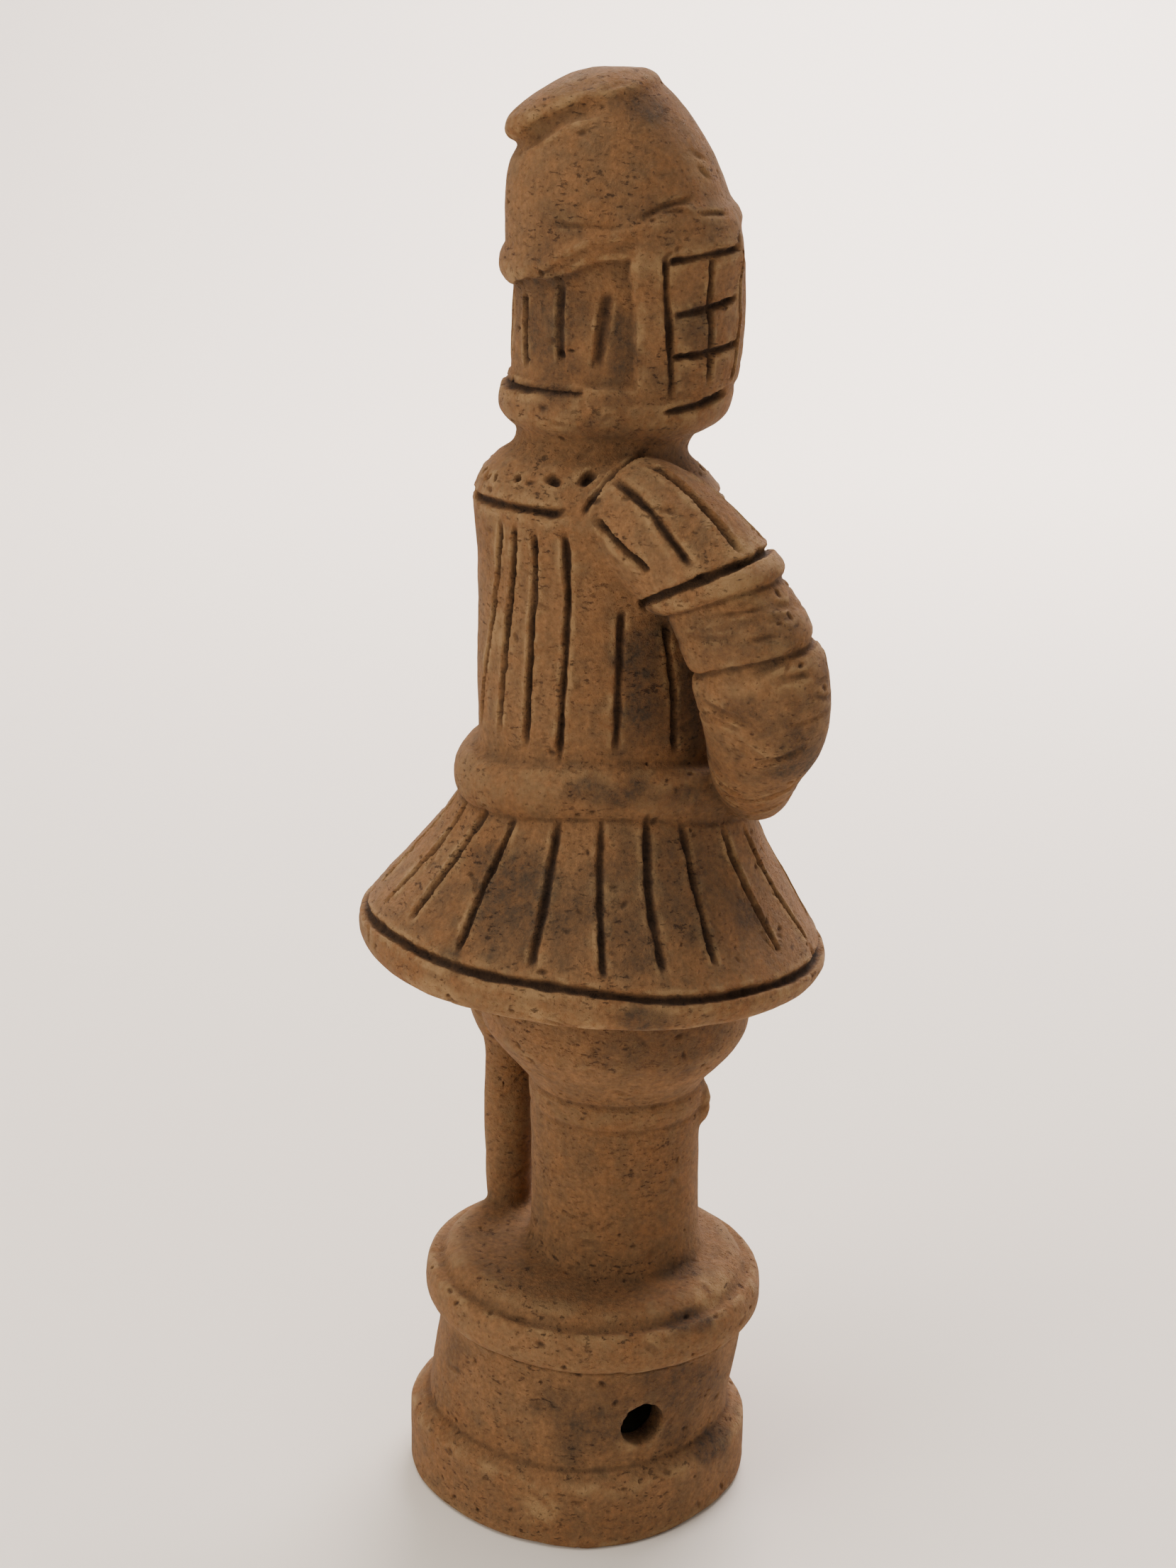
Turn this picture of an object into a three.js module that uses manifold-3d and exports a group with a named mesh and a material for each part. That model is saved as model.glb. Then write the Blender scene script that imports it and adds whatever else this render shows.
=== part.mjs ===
// A small terracotta haniwa warrior in lamellar armour, standing on a hollow drum plinth.
// Millimetres, +Z up, origin on the floor under the middle of the outline. It faces -Y.
// The whole work is one fired piece of clay, so it is one solid.
import * as THREE from "three";
import { mergeVertices } from "three/addons/utils/BufferGeometryUtils.js";
import Module from "manifold-3d";

const wasm = await Module();
wasm.setup();

// Driving sizes of the plinth
const footRadius = 34.6;
const footHeight = 14.6;
const footEdge = 1.8;
const footSquareness = 0.035;
const drumRadius = 30.9;
const drumHeight = 37;
const drumWall = 5.6;
const collarRadius = 34.2;
const collarHeight = 9.6;
const collarEdge = 2.2;
const deckRadius = 30.4;
const deckRise = 2.9;
const deckThickness = 7;
const deckForward = 2.8;
const deckGroove = 1;
const plinthTilt = THREE.MathUtils.degToRad(1.9);
const ventRadius = 4.5;
const ventHeight = 24.2;
const ventTurn = THREE.MathUtils.degToRad(5);

// Driving size of the figure. Its free form is kept as shares of this height.
const figureHeight = 231;
const modelledHeight = 231;
const unit = figureHeight / modelledHeight;
const plinthHeight = drumHeight + collarHeight + deckRise;

// Stylus marks
const markWidth = 1.9 * unit;
const markDepth = 1.5 * unit;

const degrees = THREE.MathUtils.degToRad;
const { lerp, smoothstep } = THREE.MathUtils;
const full = 2 * Math.PI;

// A closed three.js geometry as a solid. Triangles that collapse at a pole are left out.
function solidOf(geometry) {
  geometry.deleteAttribute("normal");
  geometry.deleteAttribute("uv");
  const merged = mergeVertices(geometry, 1e-4);
  const corners = merged.index.array;
  const kept = [];
  for (let i = 0; i < corners.length; i += 3) {
    const [a, b, c] = corners.slice(i, i + 3);
    if (a !== b && b !== c && c !== a) kept.push(a, b, c);
  }
  return new wasm.Manifold(
    new wasm.Mesh({
      numProp: 3,
      vertProperties: merged.attributes.position.array,
      triVerts: new Uint32Array(kept),
    }),
  );
}

// A direction seen from above: 0 is the figure's front, a quarter turn is its right side.
function heading(angle) {
  return new THREE.Vector3(-Math.sin(angle), -Math.cos(angle), 0);
}

// How far an angle is from another, without regard to full turns.
function apart(angle, other) {
  return Math.abs(THREE.MathUtils.euclideanModulo(angle - other + Math.PI, full) - Math.PI);
}

// A closed body made by turning a lathe and then placing each of its points by skin(angle, row).
function turned(rows, sides, skin) {
  const profile = rows.map((_, j) => new THREE.Vector2(1, j));
  const geometry = new THREE.LatheGeometry(profile, sides);
  const position = geometry.getAttribute("position");
  for (let i = 0; i <= sides; i++) {
    const angle = -((i % sides) / sides) * full;
    rows.forEach((row, j) => position.setXYZ(i * rows.length + j, ...skin(angle, row)));
  }
  return solidOf(geometry);
}

// The row of a table at a height, straight between its neighbours. Rows start with their height.
function rowAt(table, height) {
  const last = table.length - 1;
  let k = table.findIndex((row) => row[0] >= height);
  if (k < 1) k = k === 0 ? 1 : last;
  const [low, high] = [table[k - 1], table[k]];
  const t = (height - low[0]) / (high[0] - low[0]);
  return low.map((value, i) => lerp(value, high[i], t));
}

// An oval section of the figure: height above the plinth, half width, half depth, shift forwards.
function oval(angle, [height, halfWidth, halfDepth, forward], swell = 0) {
  const d = heading(angle);
  return new THREE.Vector3(
    d.x * (halfWidth + swell) * unit,
    (d.y * (halfDepth + swell) - forward) * unit,
    plinthHeight + height * unit,
  );
}

// Closes a table of oval rows with a point at each end.
function capped(table) {
  const [first, last] = [table[0], table[table.length - 1]];
  return [[first[0], 0, 0, first[3]], ...table, [last[0], 0, 0, last[3]]];
}

// A V-shaped stylus mark along points on a skin, deepest in the middle and run out at both ends.
function mark(skin, from, to, width = markWidth, depth = markDepth, steps = 3) {
  const proud = depth * 0.5;
  const path = [];
  for (let j = 0; j <= steps; j++) {
    const ended = j % steps === 0;
    const t = ended ? j / steps : lerp(0.1, 0.9, (j - 1) / Math.max(steps - 2, 1));
    const [angle, height] = [lerp(from[0], to[0], t), lerp(from[1], to[1], t)];
    const nudge = 0.01;
    const point = skin(angle, height);
    const across = skin(angle - nudge, height).sub(skin(angle + nudge, height));
    const up = skin(angle, height + nudge).sub(skin(angle, height - nudge));
    path.push({ point, normal: across.cross(up).normalize() });
  }
  return groove(path, width, depth, proud);
}

// A three-sided cutter along a path of points with their outward normals.
function groove(path, width, depth, proud) {
  const count = path.length;
  const profile = path.map((_, j) => new THREE.Vector2(1, j));
  const geometry = new THREE.LatheGeometry(profile, 3);
  const position = geometry.getAttribute("position");
  path.forEach(({ point, normal }, j) => {
    const before = path[Math.max(j - 1, 0)].point;
    const after = path[Math.min(j + 1, count - 1)].point;
    const along = after.clone().sub(before).normalize();
    const side = new THREE.Vector3().crossVectors(normal, along).normalize();
    const ended = j === 0 || j === count - 1;
    const top = point.clone().addScaledVector(normal, proud);
    const corners = ended
      ? [top, top, top]
      : [
          top.clone().addScaledVector(side, width * (0.5 + proud / depth / 2)),
          top.clone().addScaledVector(side, -width * (0.5 + proud / depth / 2)),
          point.clone().addScaledVector(normal, -depth),
        ];
    for (let i = 0; i <= 3; i++) position.setXYZ(i * count + j, ...corners[i % 3]);
  });
  return solidOf(geometry);
}

// Plinth: a drum with a foot flange, a rounded collar and a slightly raised deck, hollow and
// open below, with a round vent in each side. What is above the foot leans a little backwards.
function plinthPoint(angle, [radius, height]) {
  const square = 1 - footSquareness * (1 - Math.cos(4 * (angle - degrees(110)))) / 2;
  const low = 1 - smoothstep(height, footHeight, drumHeight);
  const shift = deckForward * smoothstep(height, footHeight, drumHeight);
  const d = heading(angle).multiplyScalar(radius * lerp(1, square, low));
  const tilt = Math.tan(plinthTilt) * smoothstep(height, 0, footHeight);
  return new THREE.Vector3(d.x, d.y - shift, height + d.y * tilt);
}

function plinth() {
  const ledge = footHeight + 1.2;
  const collarTop = drumHeight + collarHeight;
  const rim = collarRadius - collarEdge;
  const outline = [
    [0, 0],
    [footRadius - footEdge, 0],
    [footRadius, footEdge],
    [footRadius, footHeight - footEdge],
    [footRadius - footEdge, footHeight],
    [drumRadius, ledge + 1],
    [drumRadius, drumHeight - 1],
    [rim, drumHeight],
    [collarRadius, drumHeight + collarEdge],
    [collarRadius, collarTop - collarEdge],
    [rim, collarTop - 0.4],
    [deckRadius + 0.4, collarTop - deckGroove],
    [deckRadius, collarTop + 0.4],
    [deckRadius - 1.2, collarTop + deckRise - 0.8],
    [deckRadius - 3.6, plinthHeight],
    [0, plinthHeight],
  ];
  const room = drumRadius - drumWall;
  const ceiling = plinthHeight - deckThickness;
  const hollow = [
    [0, -1],
    [room, -1],
    [room, footHeight],
    [room, ceiling - 3],
    [room - 3, ceiling],
    [0, ceiling],
  ];
  const vent = new THREE.CylinderGeometry(ventRadius, ventRadius, 4 * footRadius, 16);
  vent.rotateZ(degrees(90)).rotateZ(ventTurn).translate(0, 0, ventHeight);
  return turned(outline, 32, plinthPoint)
    .subtract(turned(hollow, 20, plinthPoint))
    .subtract(solidOf(vent));
}

// Legs: one pillar in baggy trousers tied under the knee, with a line in front that parts them
const legRows = [
  [-3, 17.6, 17.6, 7.2],
  [1, 17.2, 17.2, 7.2],
  [31.4, 17.1, 17.1, 7.2],
  [32.4, 17.7, 17.7, 7.2],
  [36, 17.8, 17.8, 7.2],
  [37.4, 17.3, 17.3, 7.2],
  [42, 20.8, 20.8, 7.1],
  [46, 24.2, 24.2, 7],
  [50, 26.6, 26.6, 6.6],
  [78, 27, 27, 6],
];

function legSkin(angle, height) {
  return oval(angle, rowAt(legRows, height));
}

function legs() {
  const knots = [-1, 1].map((side) => {
    const knot = new THREE.SphereGeometry(3.4 * unit, 7, 5);
    knot.scale(1.1, 0.8, 1.5).translate(side * 6 * unit, -22 * unit, plinthHeight + 31.5 * unit);
    return solidOf(knot);
  });
  const parting = mark(legSkin, [0, 1.5], [0, 29]);
  return wasm.Manifold.union([turned(capped(legRows), 24, oval), ...knots]).subtract(parting);
}

// Skirt of armour and the belt, both in a frame that leans forwards with the wearer's waist
const waistFrame = new THREE.Matrix4()
  .makeTranslation(0, -1.9 * unit, plinthHeight + 71.5 * unit)
  .multiply(new THREE.Matrix4().makeRotationX(degrees(5.6)));
const skirtTop = 24.6;
const skirtRows = [
  [2, 0],
  [2, 27],
  [-1.5, 34],
  [-6.6, 40.6],
  [-7.2, 43.4],
  [-5.8, 45.2],
  [-3.4, 45.9],
  [-1.6, 45.5],
  [-0.9, 43.6],
  [0.1, 44.1],
  [12, 35.9],
  [skirtTop, 27.6],
  [skirtTop + 2.5, 24],
  [skirtTop + 2.5, 0],
];
const skirtSlope = skirtRows.slice(9, 12);

// A point of the skirt or belt. The waist is narrower from side to side, and rides up there.
function waistPoint(angle, [height, radius]) {
  const up = Math.max(0, height / skirtTop);
  const d = heading(angle);
  const lift = 3.6 * up * up * d.x * d.x - (height < -3 ? 1.2 * d.y : 0);
  return new THREE.Vector3(d.x * radius * lerp(0.96, 0.85, Math.min(up, 1)), d.y * radius, height + lift)
    .multiplyScalar(unit)
    .applyMatrix4(waistFrame);
}

function skirtSkin(angle, height) {
  return waistPoint(angle, rowAt(skirtSlope, height));
}

function skirt() {
  const pleats = 21;
  const marks = [];
  for (let k = 0; k < pleats; k++) {
    const angle = ((k + 0.5) / pleats) * full;
    const reach = 1.1 * Math.sin(k * 2.3);
    marks.push(mark(skirtSkin, [angle - degrees(1.5), 2 + reach], [angle, 24 + reach / 2]));
  }
  return turned(skirtRows, 36, waistPoint).subtract(wasm.Manifold.union(marks));
}

function belt() {
  const [middle, reach, thickness, sides] = [27.6, 26.8, 4.4, 6];
  const rope = [];
  for (let k = 0; k <= sides; k++) {
    const a = ((k % sides) / sides) * full;
    rope.push([middle + thickness * Math.sin(a), reach + 3.4 * Math.cos(a)]);
  }
  return turned(rope, 24, waistPoint);
}

// Torso from inside the skirt up through the yoke and neck
const torsoRows = [
  [92, 20.5, 24.6, 5],
  [108, 21.8, 24.5, 3.2],
  [134, 23.8, 24.2, 3],
  [150, 25.7, 23.6, 1.8],
  [156, 24.4, 22.3, 0.9],
  [159, 20.6, 20.6, 0.3],
  [162, 17.2, 17.8, 0],
  [164.6, 15.3, 15.9, 1.5],
  [168, 15.5, 16.4, 2.6],
  [172, 15.5, 16.4, 3],
];

function torsoSkin(angle, height) {
  return oval(angle, rowAt(torsoRows, height));
}

function torso() {
  const marks = [];
  // Upright bands of the cuirass, closer together at the back and front than at the sides
  const fromMiddle = [8, 22, 37, 53, 77];
  for (const middle of [0, Math.PI]) {
    for (const side of [-1, 1]) {
      for (const offset of fromMiddle) {
        const angle = middle + side * degrees(offset);
        const top = offset > 60 ? 138 : 153;
        marks.push(mark(torsoSkin, [angle, 109], [angle, top]));
      }
    }
  }
  // The yoke's lower line at the back and front, and the row of lacing holes above it
  for (const middle of [0, Math.PI]) {
    const [left, right] = [middle - degrees(57), middle + degrees(57)];
    marks.push(mark(torsoSkin, [left, 155], [right, 155], markWidth, markDepth, 9));
    for (const offset of [-49, -28, -10, 10, 28, 49]) {
      const angle = middle + degrees(offset);
      const ends = [[angle - degrees(5), 159.7], [angle + degrees(5), 159.1]];
      marks.push(mark(torsoSkin, ...ends, markWidth * 1.2, markDepth, 2));
    }
  }
  return turned(capped(torsoRows), 24, oval).subtract(wasm.Manifold.union(marks));
}

// Head below the helmet: nape guard behind, a cheek guard on each side and the face between them
const napeEdge = degrees(106);
const faceEdge = degrees(24);
const headRows = [
  [166.4, 13.4, 13.8, 3],
  [167.8, 17.4, 18.2, 3.6],
  [171.4, 20.2, 21.3, 3.9],
  [175.2, 20, 21.2, 4.5],
  [176.8, 20.5, 21.8, 5],
  [200, 20.4, 21.6, 5.3],
  [201.6, 20.2, 21.4, 5.2],
  [206, 19.4, 20.6, 5],
];

function headSkin(angle, height) {
  const nape = apart(angle, Math.PI) < Math.PI - napeEdge && height > 176 && height < 201;
  const face = apart(angle, 0) < faceEdge && height > 176 && height < 201;
  return oval(angle, rowAt(headRows, height), nape ? -1.4 : face ? -1.2 : 0);
}

function head() {
  const rows = capped(headRows);
  const placed = (angle, row) => (row[1] > 0 ? headSkin(angle, row[0]) : oval(angle, row));
  const marks = [];
  // Plates of the nape guard, and the line over its rolled lower edge
  for (const angle of [121, 142, 167, 193, 218, 239]) {
    marks.push(mark(headSkin, [degrees(angle), 177.5], [degrees(angle), 193.5]));
  }
  marks.push(mark(headSkin, [degrees(131), 175.8], [degrees(229), 175.8], markWidth, markDepth, 6));
  // Each cheek guard is scored into two columns and three rows of plates
  for (const side of [-1, 1]) {
    for (const [low, high] of [[39, 41], [64, 70], [85, 93]]) {
      marks.push(mark(headSkin, [side * degrees(low), 174.4], [side * degrees(high), 200.6]));
    }
    for (const [height, rise] of [[199, 1.2], [190.2, 1.1], [182.6, 0.9], [173.2, 1.2]]) {
      const ends = [[side * degrees(90), height], [side * degrees(42), height + rise]];
      marks.push(mark(headSkin, ...ends, markWidth, markDepth, 4));
    }
    // Eyes
    const eye = [[side * degrees(6), 189.7], [side * degrees(21), 190.2]];
    marks.push(mark(headSkin, ...eye, markWidth * 1.5, markDepth * 1.2, 3));
  }
  const mouth = [[-degrees(10), 179.5], [degrees(10), 179.5]];
  marks.push(mark(headSkin, ...mouth, markWidth * 1.1, markDepth, 3));
  // Nose and brow, one wedge that runs down from between the eyes
  const nose = new THREE.CylinderGeometry(1.4 * unit, 3 * unit, 8.4 * unit, 6);
  nose.rotateX(degrees(90)).translate(0, -25.2 * unit, plinthHeight + 187 * unit);
  return wasm.Manifold.union([turned(rows, 24, placed), solidOf(nose)]).subtract(
    wasm.Manifold.union(marks),
  );
}

// Helmet: a brim that arches over the cheeks and a dome, leaning backwards with the raised head
const helmetFrame = new THREE.Matrix4()
  .makeTranslation(0, -4.4 * unit, plinthHeight + 201 * unit)
  .multiply(new THREE.Matrix4().makeRotationX(degrees(-13)));
const helmetRows = [
  [-3.4, 0],
  [-3.4, 20.4],
  [-2.5, 21.9],
  [-0.8, 22.7],
  [1, 22.2],
  [2.6, 20.7],
  [5.2, 20.3],
  [12, 19.1],
  [17.6, 16.6],
];
// Above them the crown is folded over. Each row gives the lip of the fold, low at the back and a
// little to the left, then the front and side that it climbs to.
const foldMiddle = degrees(200);
const foldRows = [
  [20.4, 14.4, 24.2, 13.3],
  [21.6, 16, 26, 12.2],
  [23.2, 16.5, 26.8, 11.7],
  [25.4, 14.9, 27.9, 10.2],
  [27.6, 10, 28.9, 7.4],
  [29.6, 0, 29.6, 0],
];

function helmet() {
  const point = (angle, [height, radius, plainHeight = height, plainRadius = radius]) => {
    const folded = 1 - smoothstep(apart(angle, foldMiddle), degrees(5), degrees(75));
    const d = heading(angle);
    const arch = 4.2 * d.x * d.x * (1 - smoothstep(height, 1, 14)) * Math.sign(radius);
    d.multiplyScalar(lerp(plainRadius, radius, folded));
    return new THREE.Vector3(d.x * 0.94, d.y, lerp(plainHeight, height, folded) + arch)
      .multiplyScalar(unit)
      .applyMatrix4(helmetFrame);
  };
  return turned([...helmetRows, ...foldRows], 24, point);
}

// Arms: a flared shoulder guard with a cuff, the sleeve, and a forearm that comes in to the belt.
// The rows are the way along the arm and the radius there.
const armPath = [
  [-9, -0.5, 154.5],
  [-20, -3.6, 153],
  [-29.6, -13.4, 142.6],
  [-33.9, -18.6, 131.5],
  [-33.2, -21.8, 119.5],
  [-28, -22.8, 109.5],
  [-21.5, -25.4, 103],
  [-14, -28.2, 99],
];
const armRows = [
  [0, 9],
  [0.09, 10.9],
  [0.15, 11.8],
  [0.23, 12.2],
  [0.285, 12.5],
  [0.3, 11.6],
  [0.315, 12.8],
  [0.35, 12.5],
  [0.36, 10.9],
  [0.43, 11.5],
  [0.48, 11.9],
  [0.5, 10.9],
  [0.54, 12.2],
  [0.62, 11.9],
  [0.76, 9.4],
  [0.93, 6.9],
  [0.98, 5.4],
  [1, 3],
];
const guardRows = armRows.slice(1, 5);

const down = new THREE.Vector3(0, 0, -1);

function arm(side) {
  const points = armPath.map(
    ([x, y, z]) => new THREE.Vector3(-side * x * unit, y * unit, plinthHeight + z * unit),
  );
  const curve = new THREE.CatmullRomCurve3(points);
  const skin = (angle, [share, radius]) => {
    const level = 0.45 * smoothstep(share, 0.08, 0.3) * (1 - smoothstep(share, 0.38, 0.56));
    const along = curve.getTangentAt(share).lerp(down, level).normalize();
    const outward = new THREE.Vector3(side, 0, 0.35).projectOnPlane(along).normalize();
    const across = new THREE.Vector3().crossVectors(along, outward);
    return curve
      .getPointAt(share)
      .addScaledVector(outward, Math.cos(angle) * radius * unit)
      .addScaledVector(across, -Math.sin(angle) * radius * unit);
  };
  const last = armRows.length - 1;
  const rows = [[0, 0], ...armRows, [armRows[last][0], 0]];
  const guardSkin = (angle, share) => skin(angle, rowAt(guardRows, share));
  const ribs = [-112, -74, -36, 2, 40, 78].map((angle) => {
    const path = [0, 0.15, 0.85, 1].map((t) => {
      const share = lerp(0.1, 0.28, t);
      const point = guardSkin(degrees(angle), share);
      return { point, normal: point.clone().sub(curve.getPointAt(share)).normalize() };
    });
    return groove(path, markWidth, markDepth, markDepth / 2);
  });
  return turned(rows, 12, skin).subtract(wasm.Manifold.union(ribs));
}

// Scabbard end that stands on the deck, luted under the skirt on the figure's left
const scabbardRows = [
  [-1.5, 3],
  [-0.4, 4.2],
  [2.5, 4.7],
  [18, 5.2],
  [34, 5],
  [37.5, 5.6],
  [41, 7.5],
  [48, 9.2],
  [76, 10],
];

function scabbard() {
  const skin = (angle, [height, radius]) =>
    heading(angle)
      .multiplyScalar(radius)
      .add(new THREE.Vector3(23, 7.8, height))
      .multiplyScalar(unit)
      .add(new THREE.Vector3(0, 0, plinthHeight));
  return turned([[-1.5, 0], ...scabbardRows, [76, 0]], 10, skin);
}

// Sword hilt held across the belly, with its pommel towards the figure's right
function hilt() {
  const [from, to] = [new THREE.Vector3(-11, -37, 107), new THREE.Vector3(24, -27, 97)];
  const along = to.clone().sub(from);
  const length = along.length();
  const outline = [[0, 0], [4.4, 0.6], [5, 3], [3.4, 5.4], [3.4, length - 3], [5.2, length - 2], [5.2, length], [0, length]];
  const geometry = new THREE.LatheGeometry(outline.map(([r, h]) => new THREE.Vector2(r, h)), 12);
  const turn = new THREE.Quaternion().setFromUnitVectors(new THREE.Vector3(0, 1, 0), along.normalize());
  geometry
    .applyQuaternion(turn)
    .translate(...from)
    .scale(unit, unit, unit)
    .translate(0, 0, plinthHeight);
  return solidOf(geometry);
}

function meshOf(solid) {
  const { numProp, vertProperties, triVerts } = solid.getMesh();
  const geometry = new THREE.BufferGeometry();
  geometry.setAttribute("position", new THREE.BufferAttribute(vertProperties, numProp));
  geometry.setIndex(new THREE.BufferAttribute(triVerts, 1));
  geometry.computeVertexNormals();
  return geometry;
}

const terracotta = new THREE.MeshStandardMaterial({ color: 0x9a6138, roughness: 0.92, metalness: 0 });

// The pieces are luted together. Edges too short to matter are closed up, and so are small
// pockets of air that are shut in between the pieces.
const shortestEdge = 0.05;
const luted = wasm.Manifold.union([
  plinth(),
  legs(),
  skirt(),
  belt(),
  torso(),
  head(),
  helmet(),
  arm(-1),
  arm(1),
  scabbard(),
  hilt(),
]).simplify(shortestEdge);
const [clay] = luted.decompose().sort((one, other) => other.volume() - one.volume());
const figure = new THREE.Mesh(meshOf(clay), terracotta);
figure.name = "haniwa_figure";

// The model is built around the middle of the plinth. Its origin is on the floor, under the
// middle of the whole outline.
const { min, max } = clay.boundingBox();
figure.position.set(-(min[0] + max[0]) / 2, -(min[1] + max[1]) / 2, -min[2]);

const model = new THREE.Group();
model.add(figure);
export default model;
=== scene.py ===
"""A small terracotta copy of a haniwa warrior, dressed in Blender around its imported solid.

The figure is one fired piece of clay. Each part of it is worked out as a numpy surface, the
surfaces are fused into one skin, the joints are filled as a potter luts them, and the stylus
marks, pits and dents are then pressed into that skin. Sizes are in millimetres, with the
origin on the floor in the middle of the plinth and the figure facing -Y.
"""

from __future__ import annotations

import logging
import math
from dataclasses import dataclass, field
from enum import Enum
from typing import Callable, ClassVar, Sequence

import bpy
import numpy as np
from mathutils import Matrix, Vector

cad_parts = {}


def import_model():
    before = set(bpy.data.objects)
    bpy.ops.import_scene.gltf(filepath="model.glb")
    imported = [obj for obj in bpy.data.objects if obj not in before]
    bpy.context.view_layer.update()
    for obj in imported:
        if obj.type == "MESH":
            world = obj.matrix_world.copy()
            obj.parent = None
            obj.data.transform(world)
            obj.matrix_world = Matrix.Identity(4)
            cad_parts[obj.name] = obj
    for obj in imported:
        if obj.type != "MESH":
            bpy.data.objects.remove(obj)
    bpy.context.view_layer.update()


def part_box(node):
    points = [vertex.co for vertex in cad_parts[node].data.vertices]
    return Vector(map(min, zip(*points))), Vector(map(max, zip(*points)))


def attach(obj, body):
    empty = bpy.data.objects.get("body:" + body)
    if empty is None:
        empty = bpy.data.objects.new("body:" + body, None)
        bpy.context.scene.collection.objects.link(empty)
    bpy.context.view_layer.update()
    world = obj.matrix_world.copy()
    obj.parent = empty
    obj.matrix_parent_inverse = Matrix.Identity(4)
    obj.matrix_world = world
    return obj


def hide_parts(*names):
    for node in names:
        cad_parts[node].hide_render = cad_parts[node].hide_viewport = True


log = logging.getLogger("haniwa")

NODE = "haniwa_figure"
MM = 0.001
FULL = 2 * math.pi
# The solid's origin is under the middle of its whole outline, this far behind the plinth's.
CENTRING = np.array([0.0, 1.568, 0.0])
PLINTH_TOP = 49.5

Skin = Callable[[np.ndarray, np.ndarray], np.ndarray]
Layers = tuple[tuple[float, float, int], ...]


# Numbers


def ramp(value: np.ndarray, low: float, high: float) -> np.ndarray:
    """A smooth step: 0 before low, 1 after high, with no corner at either."""
    t = np.clip((value - low) / (high - low), 0.0, 1.0)
    return t * t * (3.0 - 2.0 * t)


def apart(angle: np.ndarray, other: float) -> np.ndarray:
    """How far an angle is from another, in radians, without regard to full turns."""
    return np.abs((angle - other + math.pi) % FULL - math.pi)


def clay_noise(points: np.ndarray, size: float, seed: int) -> np.ndarray:
    """Smooth random unevenness.

    A random value from -1 to 1 stands at each corner of a lattice, and a point takes the
    smooth blend of the eight corners around it.

    Args:
        points: (n, 3) places in millimetres.
        size: spacing of the lattice, the size of one bump in millimetres.
        seed: changes the random values.

    Returns:
        (n,) values from -1 to 1.
    """
    scaled = points / size + 137.0 * (seed + 1)
    cell = np.floor(scaled).astype(np.int64)
    part = scaled - cell
    blend = part * part * (3.0 - 2.0 * part)
    total = np.zeros(len(points))
    for corner in range(8):
        step = np.array([corner & 1, corner >> 1 & 1, corner >> 2 & 1])
        at = cell + step
        key = at[:, 0] * 73856093 ^ at[:, 1] * 19349663 ^ at[:, 2] * 83492791 ^ seed * 2654435
        key = (key ^ (key >> 13)) * 1274126177 & 0x7FFFFFFF
        value = (key ^ (key >> 16)) % 65536 / 32767.5 - 1.0
        total += value * np.prod(np.where(step == 1, blend, 1.0 - blend), axis=1)
    return total


def layered(points: np.ndarray, layers: Sequence[tuple[float, float, int]]) -> np.ndarray:
    """The sum of several layers of unevenness.

    Args:
        points: (n, 3) places in millimetres.
        layers: for each its height, the size of one bump in millimetres, and its seed.

    Returns:
        (n,) values.
    """
    return sum(height * clay_noise(points, size, seed) for height, size, seed in layers)


def refined(rows: Sequence[Sequence[float]], step: float) -> np.ndarray:
    """Many rows drawn softly through a few.

    Each column is a monotone cubic over the distance from row to row, so that the outline
    passes through every given row and never swings past one.

    Args:
        rows: the given rows, in order.
        step: distance between the rows returned.

    Returns:
        (m, columns) rows.
    """
    table = np.asarray(rows, float)
    gap = np.maximum(np.linalg.norm(np.diff(table, axis=0), axis=1), 1e-6)
    at = np.concatenate([[0.0], np.cumsum(gap)])
    slope = np.diff(table, axis=0) / gap[:, None]
    tangent = np.zeros_like(table)
    tangent[0], tangent[-1] = slope[0], slope[-1]
    before, after = slope[:-1], slope[1:]
    same_way = before * after > 0
    near = (2 * gap[1:] + gap[:-1])[:, None]
    far = (gap[1:] + 2 * gap[:-1])[:, None]
    weights = near / np.where(same_way, before, 1.0) + far / np.where(same_way, after, 1.0)
    tangent[1:-1] = np.where(same_way, (near + far) / weights, 0.0)
    at_new = np.linspace(0.0, at[-1], int(math.ceil(at[-1] / step)) + 1)
    k = np.clip(np.searchsorted(at, at_new, side="right") - 1, 0, len(gap) - 1)
    u = ((at_new - at[k]) / gap[k])[:, None]
    reach = gap[k][:, None]
    return (
        (1 + 2 * u) * (1 - u) ** 2 * table[k]
        + u * (1 - u) ** 2 * reach * tangent[k]
        + u * u * (3 - 2 * u) * table[k + 1]
        + u * u * (u - 1) * reach * tangent[k + 1]
    )


def row_at(rows: Sequence[Sequence[float]], height: np.ndarray) -> np.ndarray:
    """The columns after the first of a table at given first-column values, drawn straight.

    Args:
        rows: the table.
        height: values of its first column.

    Returns:
        The rows, with the first column in front.
    """
    table = np.asarray(rows, float)
    columns = [np.interp(height, table[:, 0], table[:, i]) for i in range(1, table.shape[1])]
    return np.stack([np.asarray(height, float), *columns], axis=-1)


# Surfaces


@dataclass
class Surface:
    """A closed surface: its points in millimetres and its triangles."""

    points: np.ndarray
    triangles: np.ndarray


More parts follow.
